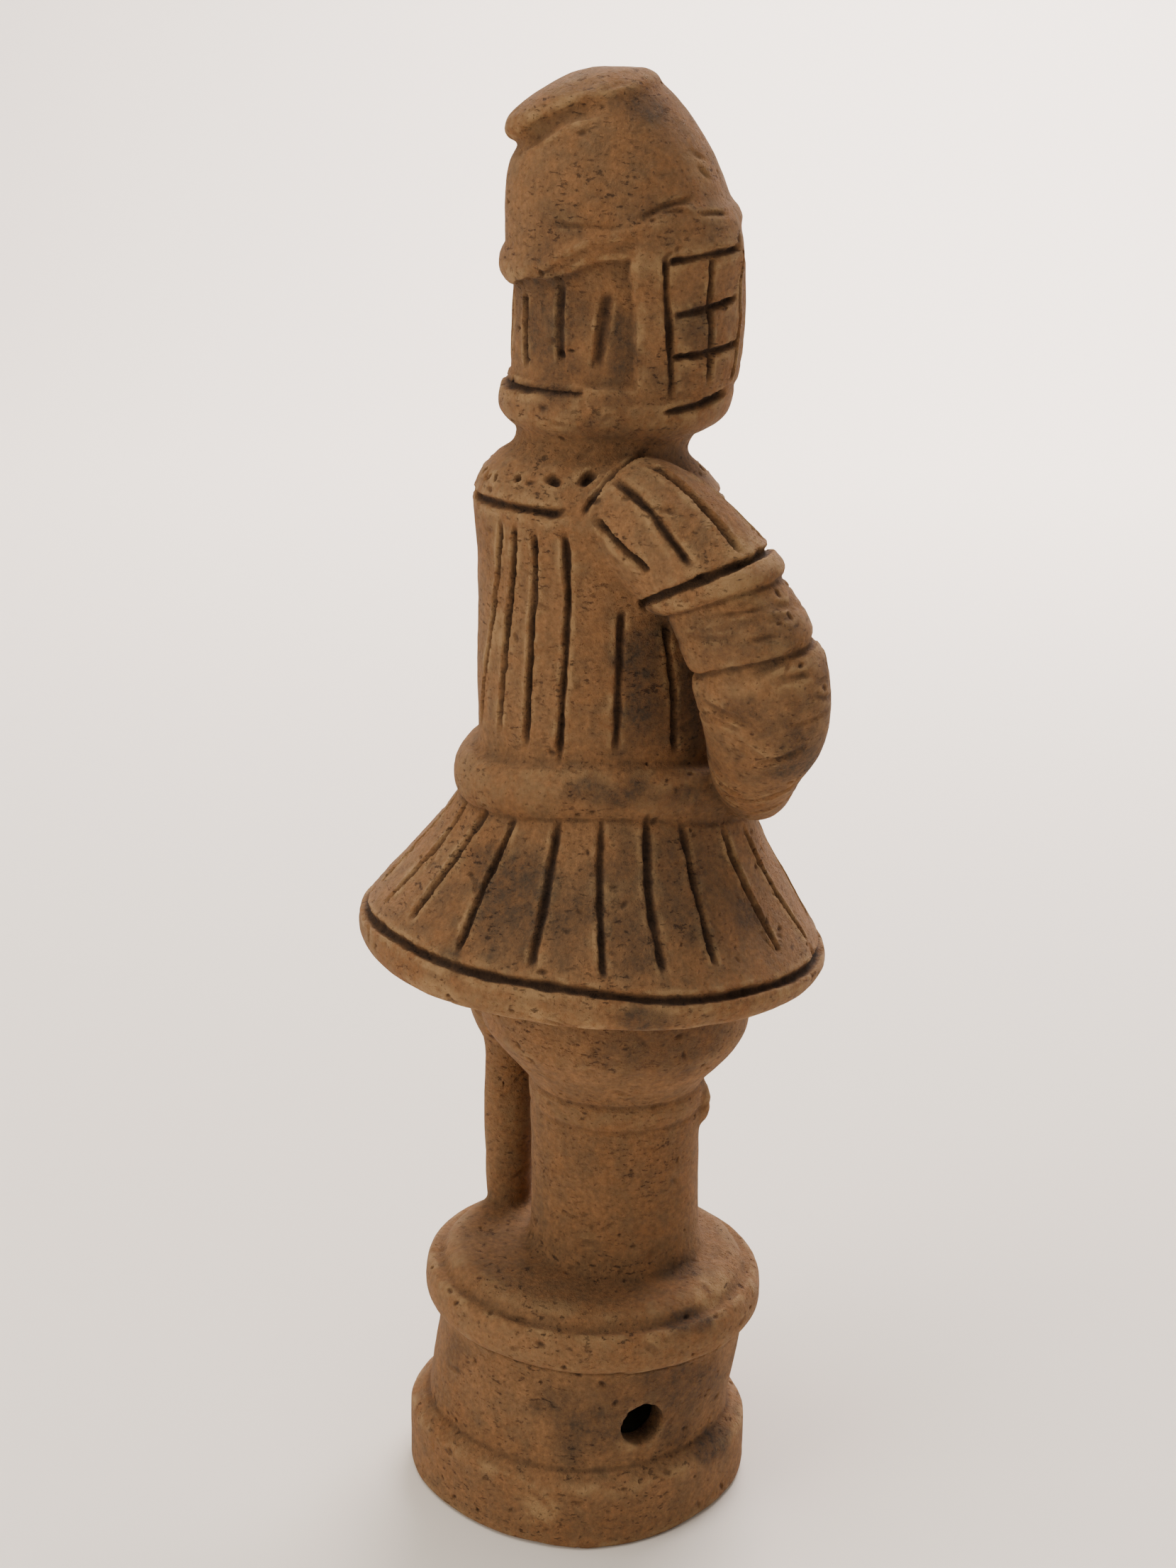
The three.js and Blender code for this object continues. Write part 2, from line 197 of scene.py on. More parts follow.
def turned(rows: np.ndarray, sides: int, skin: Skin, ring: bool = False) -> Surface:
    """A body carried round an upright axis.

    The first parameter is the angle, which runs once round, and the second is the row. The
    point for each pair is skin(angle, row). The first and last rows are closed with a fan to
    their middle, or joined to each other where the profile is a ring.

    Args:
        rows: (m, columns) rows of the profile, from the bottom up on the outside.
        sides: number of points round.
        skin: gives the points for angles (1, n) and rows (m, 1, columns).
        ring: whether the last row joins the first.

    Returns:
        The closed surface.
    """
    count = len(rows)
    angle = -np.arange(sides) / sides * FULL
    grid = skin(angle[None, :], rows[:, None, :])
    points = grid.reshape(-1, 3)
    last = count if ring else count - 1
    j, i = np.meshgrid(np.arange(last), np.arange(sides), indexing="ij")
    here, beside = j * sides + i, j * sides + (i + 1) % sides
    above, across = (j + 1) % count * sides + i, (j + 1) % count * sides + (i + 1) % sides
    faces = [np.stack([here, beside, across], -1), np.stack([here, across, above], -1)]
    triangles = [face.reshape(-1, 3) for face in faces]
    if not ring:
        k = np.arange(sides)
        foot, head = len(points), len(points) + 1
        top = (count - 1) * sides
        points = np.vstack([points, grid[0].mean(0), grid[-1].mean(0)])
        triangles.append(np.stack([np.full(sides, foot), (k + 1) % sides, k], -1))
        triangles.append(np.stack([np.full(sides, head), top + k, top + (k + 1) % sides], -1))
    return Surface(points, np.vstack(triangles))


def oval(angle: np.ndarray, rows: np.ndarray, swell: np.ndarray | float = 0.0) -> np.ndarray:
    """Points of upright oval sections.

    Rows are height, half width, half depth and shift forwards. A point is the angle's direction times the
    two half sizes plus the swell.

    Args:
        angle: headings in radians, 0 at the figure's front.
        rows: height, half width, half depth and shift forwards.
        swell: what both half sizes grow by.

    Returns:
        (..., 3) places in millimetres.
    """
    height, width, depth, forward = (rows[..., c] for c in range(4))
    across = -np.sin(angle) * (width + swell)
    along = -np.cos(angle) * (depth + swell) - forward
    return np.stack(np.broadcast_arrays(across, along, PLINTH_TOP + height), axis=-1)


def leant(
    across: np.ndarray, along: np.ndarray, rise: np.ndarray, lean: float, place: tuple[float, float]
) -> np.ndarray:
    """Points tipped about the axis from side to side, then carried forwards and up.

    Args:
        across: distances towards the figure's left.
        along: distances backwards.
        rise: heights.
        lean: the angle in radians.
        place: how far forwards, and how far above the plinth.

    Returns:
        (..., 3) places in millimetres.
    """
    sine, cosine = math.sin(lean), math.cos(lean)
    back = along * cosine - rise * sine - place[0]
    up = along * sine + rise * cosine + PLINTH_TOP + place[1]
    return np.stack(np.broadcast_arrays(across, back, up), axis=-1)


@dataclass
class Rod:
    """Round or flattened sections about a straight axis.

    A point is the start, plus the axis times the distance along it, plus the radius times a direction
    that turns from side to the opposite of other. Where those two differ in length from one, the
    section is an oval.
    """

    start: Sequence[float]
    axis: Sequence[float]
    side: Sequence[float]
    other: Sequence[float]

    def skin(self, angle: np.ndarray, rows: np.ndarray) -> np.ndarray:
        """The sections as a surface.

        Args:
            angle: turn about the axis.
            rows: distance along it and radius.

        Returns:
            (..., 3) places in millimetres.
        """
        turn = angle[..., None]
        middle = np.asarray(self.start) + np.asarray(self.axis) * rows[..., :1]
        out = np.asarray(self.side) * np.cos(turn) - np.asarray(self.other) * np.sin(turn)
        return middle + out * rows[..., 1:2]


# Stylus marks


@dataclass
class Stroke:
    """One mark of the stylus: the line it followed over the clay, and how it was pressed.

    The groove's section is deepest in the middle and its edges stand up slightly, as clay
    does when it is pushed aside. lead and trail are the shares of its length over which it
    comes in and runs out, and tone is how much dark dust it holds.
    """

    path: np.ndarray
    width: float = 1.9
    depth: float = 1.25
    lead: float = 0.08
    trail: float = 0.2
    tone: float = 1.0


def line_on(
    skin: Skin,
    rows: Sequence[Sequence[float]],
    marks: Sequence[tuple[float, float]],
    steps: int = 16,
) -> np.ndarray:
    """A line over a surface through points given by angle in degrees and height.

    Args:
        skin: the surface.
        rows: its table of rows.
        marks: (angle, height) pairs, in order.
        steps: number of points.

    Returns:
        (steps, 3) points of the line.
    """
    at = np.asarray(marks, float)
    share = np.linspace(0.0, len(at) - 1.0, steps)
    angle = np.radians(np.interp(share, np.arange(len(at)), at[:, 0]))
    height = np.interp(share, np.arange(len(at)), at[:, 1])
    return skin(angle, row_at(rows, height))


def drawn(
    skin: Skin,
    rows: Sequence[Sequence[float]],
    lines: Sequence[Sequence[tuple[float, float]]],
    how: Sequence[float],
    steps: int = 16,
) -> list[Stroke]:
    """Marks along several lines of one surface that are pressed alike.

    Args:
        skin: the surface.
        rows: its table of rows.
        lines: for each mark its (angle, height) pairs.
        how: width, depth, lead and trail.
        steps: number of points of each.

    Returns:
        The marks.
    """
    return [Stroke(line_on(skin, rows, line, steps), *how) for line in lines]


def mirrored(marks: Sequence[tuple[float, float]]) -> list[tuple[float, float]]:
    """The same marks on the other side of the figure."""
    return [(360.0 - angle, height) for angle, height in marks]


def turned_about(marks: Sequence[tuple[float, float]]) -> list[tuple[float, float]]:
    """Marks of the back carried to the front."""
    return [(180.0 - angle, height) for angle, height in marks]


# Parts of the figure


@dataclass
class Plinth:
    """The hollow drum with its foot flange, rounded collar and slightly raised deck."""

    foot_radius: float = 34.6
    foot_height: float = 14.6
    foot_edge: float = 1.8
    foot_squareness: float = 0.035
    drum_radius: float = 30.9
    drum_height: float = 37.0
    wall: float = 5.6
    collar_radius: float = 34.2
    collar_height: float = 9.6
    deck_radius: float = 30.4
    deck_thickness: float = 7.0
    deck_forward: float = 2.8
    tilt: float = math.radians(1.9)
    vent_radius: float = 4.5
    vent_height: float = 24.2
    vent_turn: float = math.radians(5.0)

    def skin(self, angle: np.ndarray, rows: np.ndarray) -> np.ndarray:
        """Rows are radius and height.

        The foot is slightly square in plan, and what is above it moves forwards and tilts back a little.

        Args:
            angle: headings in radians, 0 at the figure's front.
            rows: radius and height.

        Returns:
            (..., 3) places in millimetres.
        """
        radius, height = rows[..., 0], rows[..., 1]
        square = 1 - self.foot_squareness * (1 - np.cos(4 * (angle - math.radians(110)))) / 2
        rise = ramp(height, self.foot_height, self.drum_height)
        reach = radius * (1 + (square - 1) * (1 - rise))
        across, along = -np.sin(angle) * reach, -np.cos(angle) * reach
        lift = along * math.tan(self.tilt) * ramp(height, 0.0, self.foot_height)
        return np.stack(
            np.broadcast_arrays(across, along - self.deck_forward * rise, height + lift), axis=-1
        )

    def surface(self) -> Surface:
        """The drum with its hollow, from the ceiling inside, round the foot, up to the deck.

        Returns:
            The closed surface.
        """
        ledge = self.foot_height + 1.2
        top = self.drum_height + self.collar_height
        rim = self.collar_radius - 2.2
        room = self.drum_radius - self.wall
        ceiling = PLINTH_TOP - self.deck_thickness
        outline = [
            (0.2, ceiling), (room - 4, ceiling), (room - 1, ceiling - 1.2), (room, ceiling - 4), (room, 2),
            (room + 0.8, 0.3), (room + 1.6, 0), (self.foot_radius - self.foot_edge, 0),
            (self.foot_radius - 0.3, 0.6), (self.foot_radius, self.foot_edge),
            (self.foot_radius, self.foot_height - self.foot_edge - 0.6),
            (self.foot_radius - 0.5, self.foot_height - 0.8),
            (self.foot_radius - self.foot_edge, self.foot_height), (self.drum_radius + 0.9, ledge - 0.4),
            (self.drum_radius - 0.3, ledge + 0.3), (self.drum_radius - 0.1, ledge + 2.4),
            (self.drum_radius, (ledge + self.drum_height) / 2), (self.drum_radius, self.drum_height - 1.2),
            (self.drum_radius + 0.2, self.drum_height - 0.3), (rim, self.drum_height + 0.2),
            (self.collar_radius - 0.6, self.drum_height + 1.6),
            (self.collar_radius, self.drum_height + self.collar_height * 0.45),
            (self.collar_radius - 0.4, top - 2.2), (rim + 0.6, top - 0.6), (rim - 0.6, top - 0.7),
            (self.deck_radius + 0.4, top - 1.3), (self.deck_radius - 0.1, top + 0.2),
            (self.deck_radius - 1.2, top + 1.9), (self.deck_radius - 3.6, PLINTH_TOP), (0.2, PLINTH_TOP),
        ]
        return turned(refined(outline, 0.9), 200, self.skin)

    def strokes(self) -> list[Stroke]:
        """The line cut round the collar's lower edge and the ledge's inner corner.

        Returns:
            The marks.
        """
        marks = []
        for radius, height, depth in ((30.8, 37.2, 0.7), (31.2, 15.6, 0.25)):
            angle = np.linspace(0.0, FULL, 120)
            rows = np.broadcast_to([radius, height], (120, 2))
            marks.append(Stroke(self.skin(angle, rows), 1.6, depth, 0.01, 0.01))
        return marks


@dataclass
class Legs:
    """One pillar in baggy trousers tied under the knee."""

    rows: tuple[tuple[float, ...], ...] = (
        (-3, 17.8, 17.8, 7.2), (0.4, 17.8, 17.8, 7.2), (3, 17.1, 17.1, 7.2), (16, 16.8, 16.9, 7.2),
        (30.6, 17.0, 17.1, 7.2), (31.6, 17.0, 17.1, 7.2), (33.4, 17.5, 17.5, 7.2), (35.2, 17.6, 17.6, 7.2),
        (37.0, 17.4, 17.4, 7.2), (39.0, 18.6, 18.6, 7.1), (42.0, 21.2, 21.0, 7.1), (46.0, 24.4, 24.2, 7),
        (50.0, 26.5, 26.3, 6.6), (56.0, 27.0, 26.9, 6.3), (78.0, 27.0, 27.0, 6),
    )
    knot_place: tuple[float, float, float] = (6.0, -22.0, 31.5)
    knot: tuple[tuple[float, float], ...] = (
        (-5.0, 0.05), (-4.4, 2.2), (-2.4, 3.5), (0, 3.8), (2.6, 3.3), (4.4, 1.9), (5, 0.05),
    )
    lines: tuple[tuple[tuple[float, float], ...], ...] = (
        ((0, 1), (1, 14), (0, 30)), ((-178, 37.2), (0, 36.8), (178, 37.0)),
        ((-178, 31.4), (0, 31.2), (178, 31.6)),
    )

    def surfaces(self) -> list[Surface]:
        """The pillar, and the two knots that tie the trousers in front, wider than they are deep.

        Returns:
            The closed surfaces.
        """
        x, y, z = self.knot_place
        made = [turned(refined(self.rows, 0.8), 130, oval)]
        for across in (-x, x):
            knot = Rod((across, y, PLINTH_TOP + z), (0, 0, 1), (0, -0.75, 0), (1.05, 0, 0))
            made.append(turned(refined(self.knot, 0.6), 40, knot.skin))
        return made

    def strokes(self) -> list[Stroke]:
        """The parting between the legs in front, and the ties under the knees.

        Returns:
            The marks.
        """
        parting, tie, low = self.lines
        return [
            *drawn(oval, self.rows, [parting], (1.9, 1.4)),
            *drawn(oval, self.rows, [tie], (1.7, 0.28, 0.02, 0.02), 90),
            *drawn(oval, self.rows, [low], (1.5, 0.2, 0.02, 0.02), 90),
        ]


@dataclass
class Waist:
    """The flared skirt of armour and the belt coil, which lean with the wearer's waist."""

    height: float = 71.5
    forward: float = 1.9
    lean: float = math.radians(5.6)
    top: float = 24.6
    pleats: int = 21
    narrowing: float = 0.11
    saddle: float = 3.6
    rim_drop: float = 1.2
    coil_middle: float = 27.6
    rows: tuple[tuple[float, float], ...] = (
        (2, 0.2), (2, 25), (1.2, 30), (-1.5, 34.4), (-6.2, 40.4), (-7.1, 42.2), (-7.1, 43.6), (-5.9, 45.1),
        (-3.6, 45.9), (-1.9, 45.6), (-1.2, 44.8), (-0.6, 44.3), (0.3, 44.0), (6, 40.2), (12, 36.0),
        (18, 31.9), (24.6, 27.8), (27.1, 24), (27.1, 0.2),
    )
    slope: tuple[tuple[float, float], ...] = (
        (-1.2, 44.6), (0.3, 44.0), (12, 35.9), (24.6, 27.6), (30, 24.6),
    )

    def skin(self, angle: np.ndarray, rows: np.ndarray) -> np.ndarray:
        """Rows are height and radius in the leaning frame.

        The waist is narrower from side to side, and rides up there, and the rim is level with the floor at
        its lower edge.

        Args:
            angle: headings in radians, 0 at the figure's front.
            rows: height and radius.

        Returns:
            (..., 3) places in millimetres.
        """
        height, radius = rows[..., 0], rows[..., 1]
        up = np.clip(height / self.top, 0.0, 1.15)
        east, south = -np.sin(angle), -np.cos(angle)
        across = east * radius * (0.96 - self.narrowing * np.minimum(up, 1.0))
        lift = self.saddle * up * up * east * east - self.rim_drop * south * ramp(-height, 1.5, 4.5)
        return leant(across, south * radius, height + lift, self.lean, (self.forward, self.height))

    def surfaces(self) -> list[Surface]:
        """The skirt as a closed bell and the belt as a coil of uneven thickness.

        Returns:
            The closed surfaces.
        """
        turn = np.linspace(0.0, FULL, 25)[:-1]
        coil = np.stack([self.coil_middle + 4.6 * np.sin(turn), 26.9 + 3.6 * np.cos(turn)], axis=-1)

        def coil_skin(angle: np.ndarray, rows: np.ndarray) -> np.ndarray:
            """The coil's round section, taller and further out at the back.

            Args:
                angle: headings in radians, 0 at the figure's front.
                rows: height and radius of the section.

            Returns:
                (..., 3) places in millimetres.
            """
            back = ramp(math.pi - apart(angle, math.pi), 1.0, 2.6)
            height = self.coil_middle + (rows[..., 0] - self.coil_middle) * (0.86 + 0.22 * back)
            radius = rows[..., 1] - 0.8 + 1.2 * back
            return self.skin(angle, np.stack(np.broadcast_arrays(height, radius), axis=-1))

        return [
            turned(refined(self.rows, 0.9), 260, self.skin),
            turned(coil, 200, coil_skin, ring=True),
        ]

    def strokes(self) -> list[Stroke]:
        """The pleats, pressed from the belt down, and the line above the rim.

        Returns:
            The marks.
        """
        seen = [
            [(177, 26), (177, 14), (181, 2)], [(160, 26), (163, 16), (165, 2.6)],
            [(145, 25), (146, 12.8), (145, 0.6)], [(127, 25), (125, 10.7), (125, 1.4)],
            [(111, 25.6), (109, 11.9), (107, 1.0)], [(94, 26.4), (94, 13.2), (92, 2.2)],
            [(80, 24.9), (78, 13.1), (77, 3.0)], [(60, 24), (56, 13.2), (53, 2.8)],
            [(45, 23), (40, 11.6), (35, 2.0)],
        ]
        pitch = 360 / self.pleats
        rng = np.random.default_rng(5)
        hidden = []
        angle = 195.0
        while angle < 380:
            low, high = rng.uniform(1.2, 3.2), rng.uniform(23, 25.5)
            hidden.append([(angle - 1, high), (angle, 12), (angle + rng.uniform(-1, 2), low)])
            angle += pitch + rng.uniform(-1.2, 1.2)
        marks = [
            Stroke(line_on(self.skin, self.slope, pleat), wide, 1.35, 0.22, 0.1)
            for pleat, wide in zip(seen + hidden, rng.uniform(1.45, 1.95, 40))
        ]
        turn = np.linspace(0.0, FULL, 160)
        rim = -0.9 + (0.35 * np.sin(3 * turn + 1.0) + 0.25 * np.sin(7 * turn))
        crease = 23.4 + 0.3 * np.sin(4 * turn)
        for heights, width, depth in ((rim, 2.0, 1.15), (crease, 1.7, 0.25)):
            path = self.skin(turn, row_at(self.slope, heights))
            marks.append(Stroke(path, width, depth, 0.01, 0.01))
        return marks


@dataclass
class Torso:
    """The cuirass from inside the skirt up through the yoke and neck."""

    rows: tuple[tuple[float, ...], ...] = (
        (92, 20.5, 24.6, 5), (104, 21.4, 24.8, 3.7), (112, 22.2, 24.4, 2.9), (126, 23.1, 24.2, 2.9),
        (140, 24.5, 24.1, 3), (148, 25.7, 23.8, 2.2), (152, 25.7, 23.4, 1.5), (156, 24.4, 22.4, 0.9),
        (159, 20.8, 20.8, 0.3), (162, 17.2, 17.9, 0), (164.6, 15.3, 15.9, 1.5), (168, 15.5, 16.4, 2.6),
        (172, 15.5, 16.4, 3),
    )

    def surfaces(self) -> list[Surface]:
        """The trunk of the body."""
        return [turned(refined(self.rows, 0.8), 160, oval)]

    def strokes(self) -> list[Stroke]:
        """Bands of the cuirass, the yoke's line, and the lacing holes above it.

        The back is marked on both sides of the spine and the front repeats the back.

        Returns:
            The marks.
        """
        bands = [
            [(161, 153.4), (170, 134), (184, 110)], [(152, 153.4), (158, 135), (163, 111)],
            [(142, 152.8), (144, 133.7), (145, 109)], [(128, 153.6), (127, 129.5), (128, 107)],
            [(104, 139), (103, 124.5), (103, 110.6)], [(84, 136), (77, 121.0), (76, 109.0)],
        ]
        other = [
            [(206, 153.0), (203, 133), (202, 110)], [(219, 153.0), (218, 134), (217, 109)],
            [(233, 153.0), (232, 130), (233, 108)], [(257, 139), (257, 124), (257, 110)],
        ]
        holes = [(182, 158.9, 1), (171, 159.3, 1), (154, 159.9, 2)]
        slanted = [
            [(-12.2, 13.8, 210.7), (-15.4, 11.1, 209.0)], [(-17.2, 9.3, 209.3), (-15.7, 5.0, 212.2)],
        ]
        armhole = [
            (-14.6, -6.3, 214.9), (-17.6, -1.5, 214.6), (-19.4, 1.6, 213.4), (-19.9, 5.3, 210.7),
            (-20.4, 8.0, 207.3), (-21.6, 9.9, 204.4),
        ]
        bands += other + [turned_about(band) for band in bands[:4] + other[:3]]
        yokes = [[(194, 154.6), (161, 155.4), (125, 155.6)], [(196, 154.8), (235, 155.5)]]
        yokes += [turned_about(yoke) for yoke in yokes]
        laced = [[(at - reach, up + 0.25 * reach), (at + reach, up - 0.1 * reach)] for at, up, reach in holes]
        laced = [each for hole in laced for each in (hole, mirrored(hole), turned_about(hole))]
        marks = drawn(oval, self.rows, bands, (1.55, 1.2, 0.1, 0.14), 24)
        marks += drawn(oval, self.rows, yokes, (1.9, 1.35, 0.05, 0.1), 24)
        marks += drawn(oval, self.rows, laced, (2.0, 1.5, 0.25, 0.25), 6)
        for mirror in (np.array([1.0, 1.0, 1.0]), np.array([-1.0, 1.0, 1.0])):
            marks += [Stroke(np.array(hole) * mirror, 2.3, 1.6, 0.45, 0.5) for hole in slanted]
            marks.append(Stroke(np.array(armhole) * mirror, 1.5, 1.0, 0.25, 0.12))
        return marks


@dataclass
class Head:
    """The head below the helmet: nape guard, cheek guards and the face between them."""

    face_edge: float = math.radians(24)
    ragged: Layers = ((0.45, 3.2, 31), (0.2, 1.3, 32))
    rows: tuple[tuple[float, ...], ...] = (
        (166.4, 13.4, 13.8, 3), (167.2, 15.8, 16.6, 3.4), (168.6, 18.2, 19.2, 3.7),
        (171.2, 20.1, 21.3, 3.9), (174.0, 20.4, 21.6, 4.3), (175.4, 20.0, 21.2, 4.6),
        (176.8, 20.5, 21.8, 5), (188, 20.7, 22.1, 5.5), (200, 20.4, 21.7, 5.3), (206, 19.4, 20.6, 5),
    )

    def hollow(self, angle: np.ndarray, height: np.ndarray) -> np.ndarray:
        """How far the cheek guards swell to meet the brim, and the face lies below them.

        Args:
            angle: headings in radians, 0 at the figure's front.
            height: heights above the plinth.

        Returns:
            How far the surface stands out, in millimetres.
        """
        front = apart(angle, 0.0)
        up = ramp(height, 175.6, 177.0) * (1 - ramp(height, 199.4, 201.0))
        face = 1 - ramp(front, self.face_edge - 0.05, self.face_edge + 0.05)
        cheek = ramp(front, 0.55, 0.75) * (1 - ramp(front, 1.80, 1.90))
        return 1.3 * cheek * ramp(height, 192.5, 200.5) - 1.3 * up * face

    def skin(self, angle: np.ndarray, rows: np.ndarray) -> np.ndarray:
        """Oval sections, let in over the face and carried out to the brim over the cheeks."""
        return oval(angle, rows, self.hollow(angle, rows[..., 0]))

    def panel(self, points: np.ndarray) -> np.ndarray:
        """The sunk panel of the nape guard, cut into the finished clay.

        It has a level floor and steep ragged edges: the sides lean a little, and the upper
        edge follows the brim.

        Args:
            points: (n, 3) places on the skin.

        Returns:
            How deep the clay is cut away at each, in millimetres.
        """
        table = np.asarray(self.rows, float)
        height = points[:, 2] - PLINTH_TOP
        along = points[:, 1] + np.interp(height, table[:, 0], table[:, 3])
        away = apart(np.arctan2(-points[:, 0], -along), math.pi)
        radius = np.hypot(points[:, 0], along)
        ragged = layered(points, self.ragged)
        side = np.radians(np.interp(height, [178.4, 189.4, 198.9], [78, 76, 73]))
        top = np.interp(np.degrees(away), [0, 35, 55, 72], [193.8, 196.6, 199.6, 200.2])
        inside = ramp((side - away) * 20.5 + ragged, 0.0, 0.9)
        inside *= ramp(top - height + ragged, 0.0, 0.9) * ramp(height - 176.5, 0.0, 1.2)
        return 1.5 * inside * ramp(radius, 16.5, 18.5)

    def surfaces(self) -> list[Surface]:
        """The head, and the nose with the brow that it hangs from.

        Returns:
            The closed surfaces.
        """
        nose = Rod((0, -25.3, PLINTH_TOP + 187.4), (0, 0.06, 1), (0, -1, 0), (0.8, 0, 0))
        bridge = [(-4.6, 0.1), (-4.2, 2.2), (-2.6, 2.9), (0, 2.3), (3, 1.5), (4.6, 1.2), (5, 0.1)]

        brow_turn = np.linspace(-1.0, 1.0, 40)

        def brow(angle: np.ndarray, row: np.ndarray) -> np.ndarray:
            """A thin coil bent round the forehead and dropping a little at both ends.

            Args:
                angle: turn about the coil.
                row: share of its length and radius.

            Returns:
                (..., 3) places in millimetres.
            """
            turn, radius = row[..., 0], row[..., 1]
            out = np.stack([-np.sin(turn * 0.36), -np.cos(turn * 0.36), 0 * turn], axis=-1)
            drop = PLINTH_TOP + 193.4 - 1.2 * turn**2
            shift = np.stack([0 * turn, 0 * turn - 5.2, drop], axis=-1)
            middle = out * [20.0, 21.2, 0.0] + shift
            up = np.array([0.0, 0.0, 1.0])
            rim = out * np.cos(angle)[..., None] - up * np.sin(angle)[..., None]
            return middle + rim * radius[..., None]

        thickness = 1.1 * np.sqrt(np.maximum(1 - brow_turn**4, 0.003))
        return [
            turned(refined(self.rows, 0.7), 200, self.skin),
            turned(refined(bridge, 0.4), 40, nose.skin),
            turned(np.stack([brow_turn, thickness], axis=-1), 20, brow),
        ]

    def strokes(self) -> list[Stroke]:
        """Plates of the nape and cheek guards, and the eyes and mouth.

        Returns:
            The marks.
        """
        nape = [
            [(170, 193.0), (169, 185.8), (166, 178.8)], [(142, 196.0), (143, 188.6), (142, 180.0)],
            [(117, 195.0), (120, 187.1), (122, 179.6)],
        ]
        cheek = [
            [(92, 200.8), (89, 190.1), (84, 174.4)], [(91, 199.1), (70, 200.2), (44, 201.0)],
            [(87, 189.9), (65, 190.9), (42, 192.2)], [(88, 182.4), (65, 183.0), (38, 183.8)],
            [(87, 172.8), (63, 173.9), (42, 175.4)], [(68, 200.6), (66, 189.7), (63, 176.6)],
            [(42, 201.0), (39, 188.7), (43, 176.4)], [(26, 199.0), (25, 188.7), (27, 179.0)],
        ]
        lip = [(126, 176.4), (150, 176.2), (180, 175.8), (232, 176.3)]
        eye = [(7, 189.6), (14, 190.2), (21, 189.9)]
        mouth = [(-10, 179.6), (0, 179.3), (10, 179.6)]
        cheeks = [each for line in cheek for each in (line, mirrored(line))]
        marks = []
        for line, width, depth in zip(nape, (1.8, 1.9, 2.6), (1.2, 0.8, 0.8)):
            marks += drawn(self.skin, self.rows, [line, mirrored(line)], (width, depth, 0.2, 0.2))
        marks += drawn(self.skin, self.rows, [lip], (2.0, 1.2, 0.03, 0.03), 40)
        marks += drawn(self.skin, self.rows, cheeks, (1.4, 1.15, 0.1, 0.14), 20)
        eyes = [[(side * angle, height) for angle, height in eye] for side in (-1, 1)]
        marks += drawn(self.skin, self.rows, eyes, (2.7, 2.2, 0.3, 0.3))
        return marks + drawn(self.skin, self.rows, [mouth], (1.8, 1.5, 0.2, 0.2))


